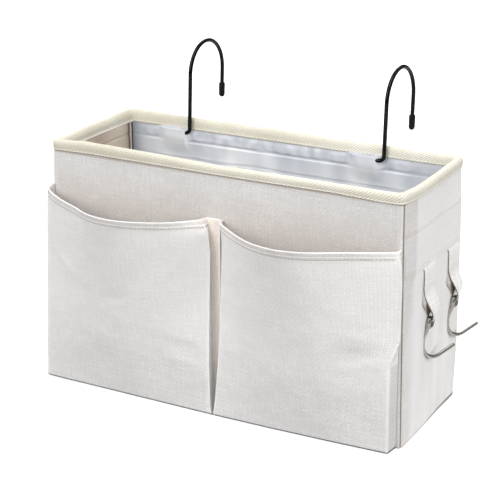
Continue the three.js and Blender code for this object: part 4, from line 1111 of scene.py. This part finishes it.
# Backdrop paper: plain white to the eye, and grey to the light that it sends back, darker away from the box
paper, tree = new_material("backdrop_paper_white")
rays = node(tree, "ShaderNodeLightPath")
from_middle = node(tree, "ShaderNodeVectorMath", {"operation": "LENGTH"}, {
    0: node(tree, "ShaderNodeTexCoord").outputs["Object"]})
away_share = node(tree, "ShaderNodeMapRange", links={
    "Value": from_middle.outputs["Value"], "From Min": 0.18, "From Max": 0.42, "To Min": 0.0, "To Max": 1.0})
lit = node(tree, "ShaderNodeBsdfDiffuse", links={"Color": node(tree, "ShaderNodeMix", {"data_type": "RGBA"}, {
    "Factor": away_share.outputs["Result"], 6: linear(near_floor_hex), 7: linear(far_floor_hex)}).outputs[2]})
white_paper = node(tree, "ShaderNodeAddShader", links={
    0: node(tree, "ShaderNodeBsdfDiffuse", links={"Color": linear(white_floor_hex)}).outputs[0],
    1: node(tree, "ShaderNodeEmission", links={"Color": white, "Strength": 0.6}).outputs[0]})
through_or_mirrored = node(tree, "ShaderNodeMath", {"operation": "MULTIPLY_ADD"}, {
    0: rays.outputs["Is Glossy Ray"], 1: glossy_share, 2: rays.outputs["Is Transmission Ray"]})
seen = node(tree, "ShaderNodeMath", {"operation": "MAXIMUM"}, {
    0: rays.outputs["Is Camera Ray"], 1: through_or_mirrored.outputs[0]})
node(tree, "ShaderNodeOutputMaterial", links={"Surface": node(tree, "ShaderNodeMixShader", links={
    0: seen.outputs[0], 1: lit.outputs[0], 2: white_paper.outputs[0]}).outputs[0]})
floor_mesh.materials.append(paper)

# Surround: white to the eye, an even soft light on the cloth, and darker to the wires towards the horizon
world = bpy.data.worlds.new("studio_white")
bpy.context.scene.world = world
world.use_nodes = True
tree = world.node_tree
tree.nodes.clear()
rays = node(tree, "ShaderNodeLightPath")
seen = node(tree, "ShaderNodeMath", {"operation": "MAXIMUM"}, {
    0: rays.outputs["Is Camera Ray"], 1: rays.outputs["Is Transmission Ray"]})
upward = node(tree, "ShaderNodeSeparateXYZ", links={0: node(tree, "ShaderNodeTexCoord").outputs["Generated"]})
horizon = node(tree, "ShaderNodeMapRange", links={
    "Value": upward.outputs["Z"], "From Min": 0.2, "From Max": 0.8, "To Min": 0.05, "To Max": 0.5})
strength = node(tree, "ShaderNodeMix", {"data_type": "FLOAT"}, {
    "Factor": rays.outputs["Is Glossy Ray"], 2: 0.8, 3: horizon.outputs["Result"]})
ambient = node(tree, "ShaderNodeBackground", links={"Color": white, "Strength": strength.outputs[0]})
plain = node(tree, "ShaderNodeBackground", links={"Color": white, "Strength": 1.0})
node(tree, "ShaderNodeOutputWorld", links={"Surface": node(tree, "ShaderNodeMixShader", links={
    0: seen.outputs[0], 1: ambient.outputs[0], 2: plain.outputs[0]}).outputs[0]})


def soft_lamp(name, place, aim, size, power, mirrored=True):
    """A square softbox; one that isn't mirrored lights the cloth and leaves no glare on the wires."""
    data = bpy.data.lights.new(name, "AREA")
    data.shape, data.size, data.energy = "SQUARE", size, power
    lamp = bpy.data.objects.new(name, data)
    lamp.location = place
    lamp.rotation_euler = (Vector(aim) - Vector(place)).to_track_quat("-Z", "Y").to_euler()
    lamp.visible_glossy = mirrored
    bpy.context.scene.collection.objects.link(lamp)


soft_lamp("front_softbox", (-0.5, -1.8, 1.25), (0, 0, 0.1), 1.2, 20.5)
soft_lamp("right_softbox", (1.8, -0.3, 0.9), (0, 0, 0.1), 1.0, 18, mirrored=False)
soft_lamp("top_softbox", (0.0, -0.5, 1.9), (0, 0, 0.15), 1.2, 13)
soft_lamp("back_softbox", (-1.1, 1.7, 1.3), (0, 0, 0.1), 1.2, 20)

# Camera: fitted to the corners of the box in the photograph; its axes point right, up and back
view_axes = ((0.8723, 0.4890, -0.0073), (-0.1591, 0.2979, 0.9412), (0.4624, -0.8199, 0.3377))
eye_point = (0.57143, -1.02032, 0.54047)
lens = bpy.data.cameras.new("product_camera")
lens.lens, lens.sensor_width, lens.sensor_fit = 106.44, 36.0, "HORIZONTAL"
lens.clip_start, lens.clip_end = 0.05, 20
camera = bpy.data.objects.new("product_camera", lens)
camera.matrix_world = Matrix([*zip(*view_axes, eye_point), (0, 0, 0, 1)])
bpy.context.scene.collection.objects.link(camera)
bpy.context.scene.camera = camera
bpy.context.scene.view_settings.view_transform = "Standard"
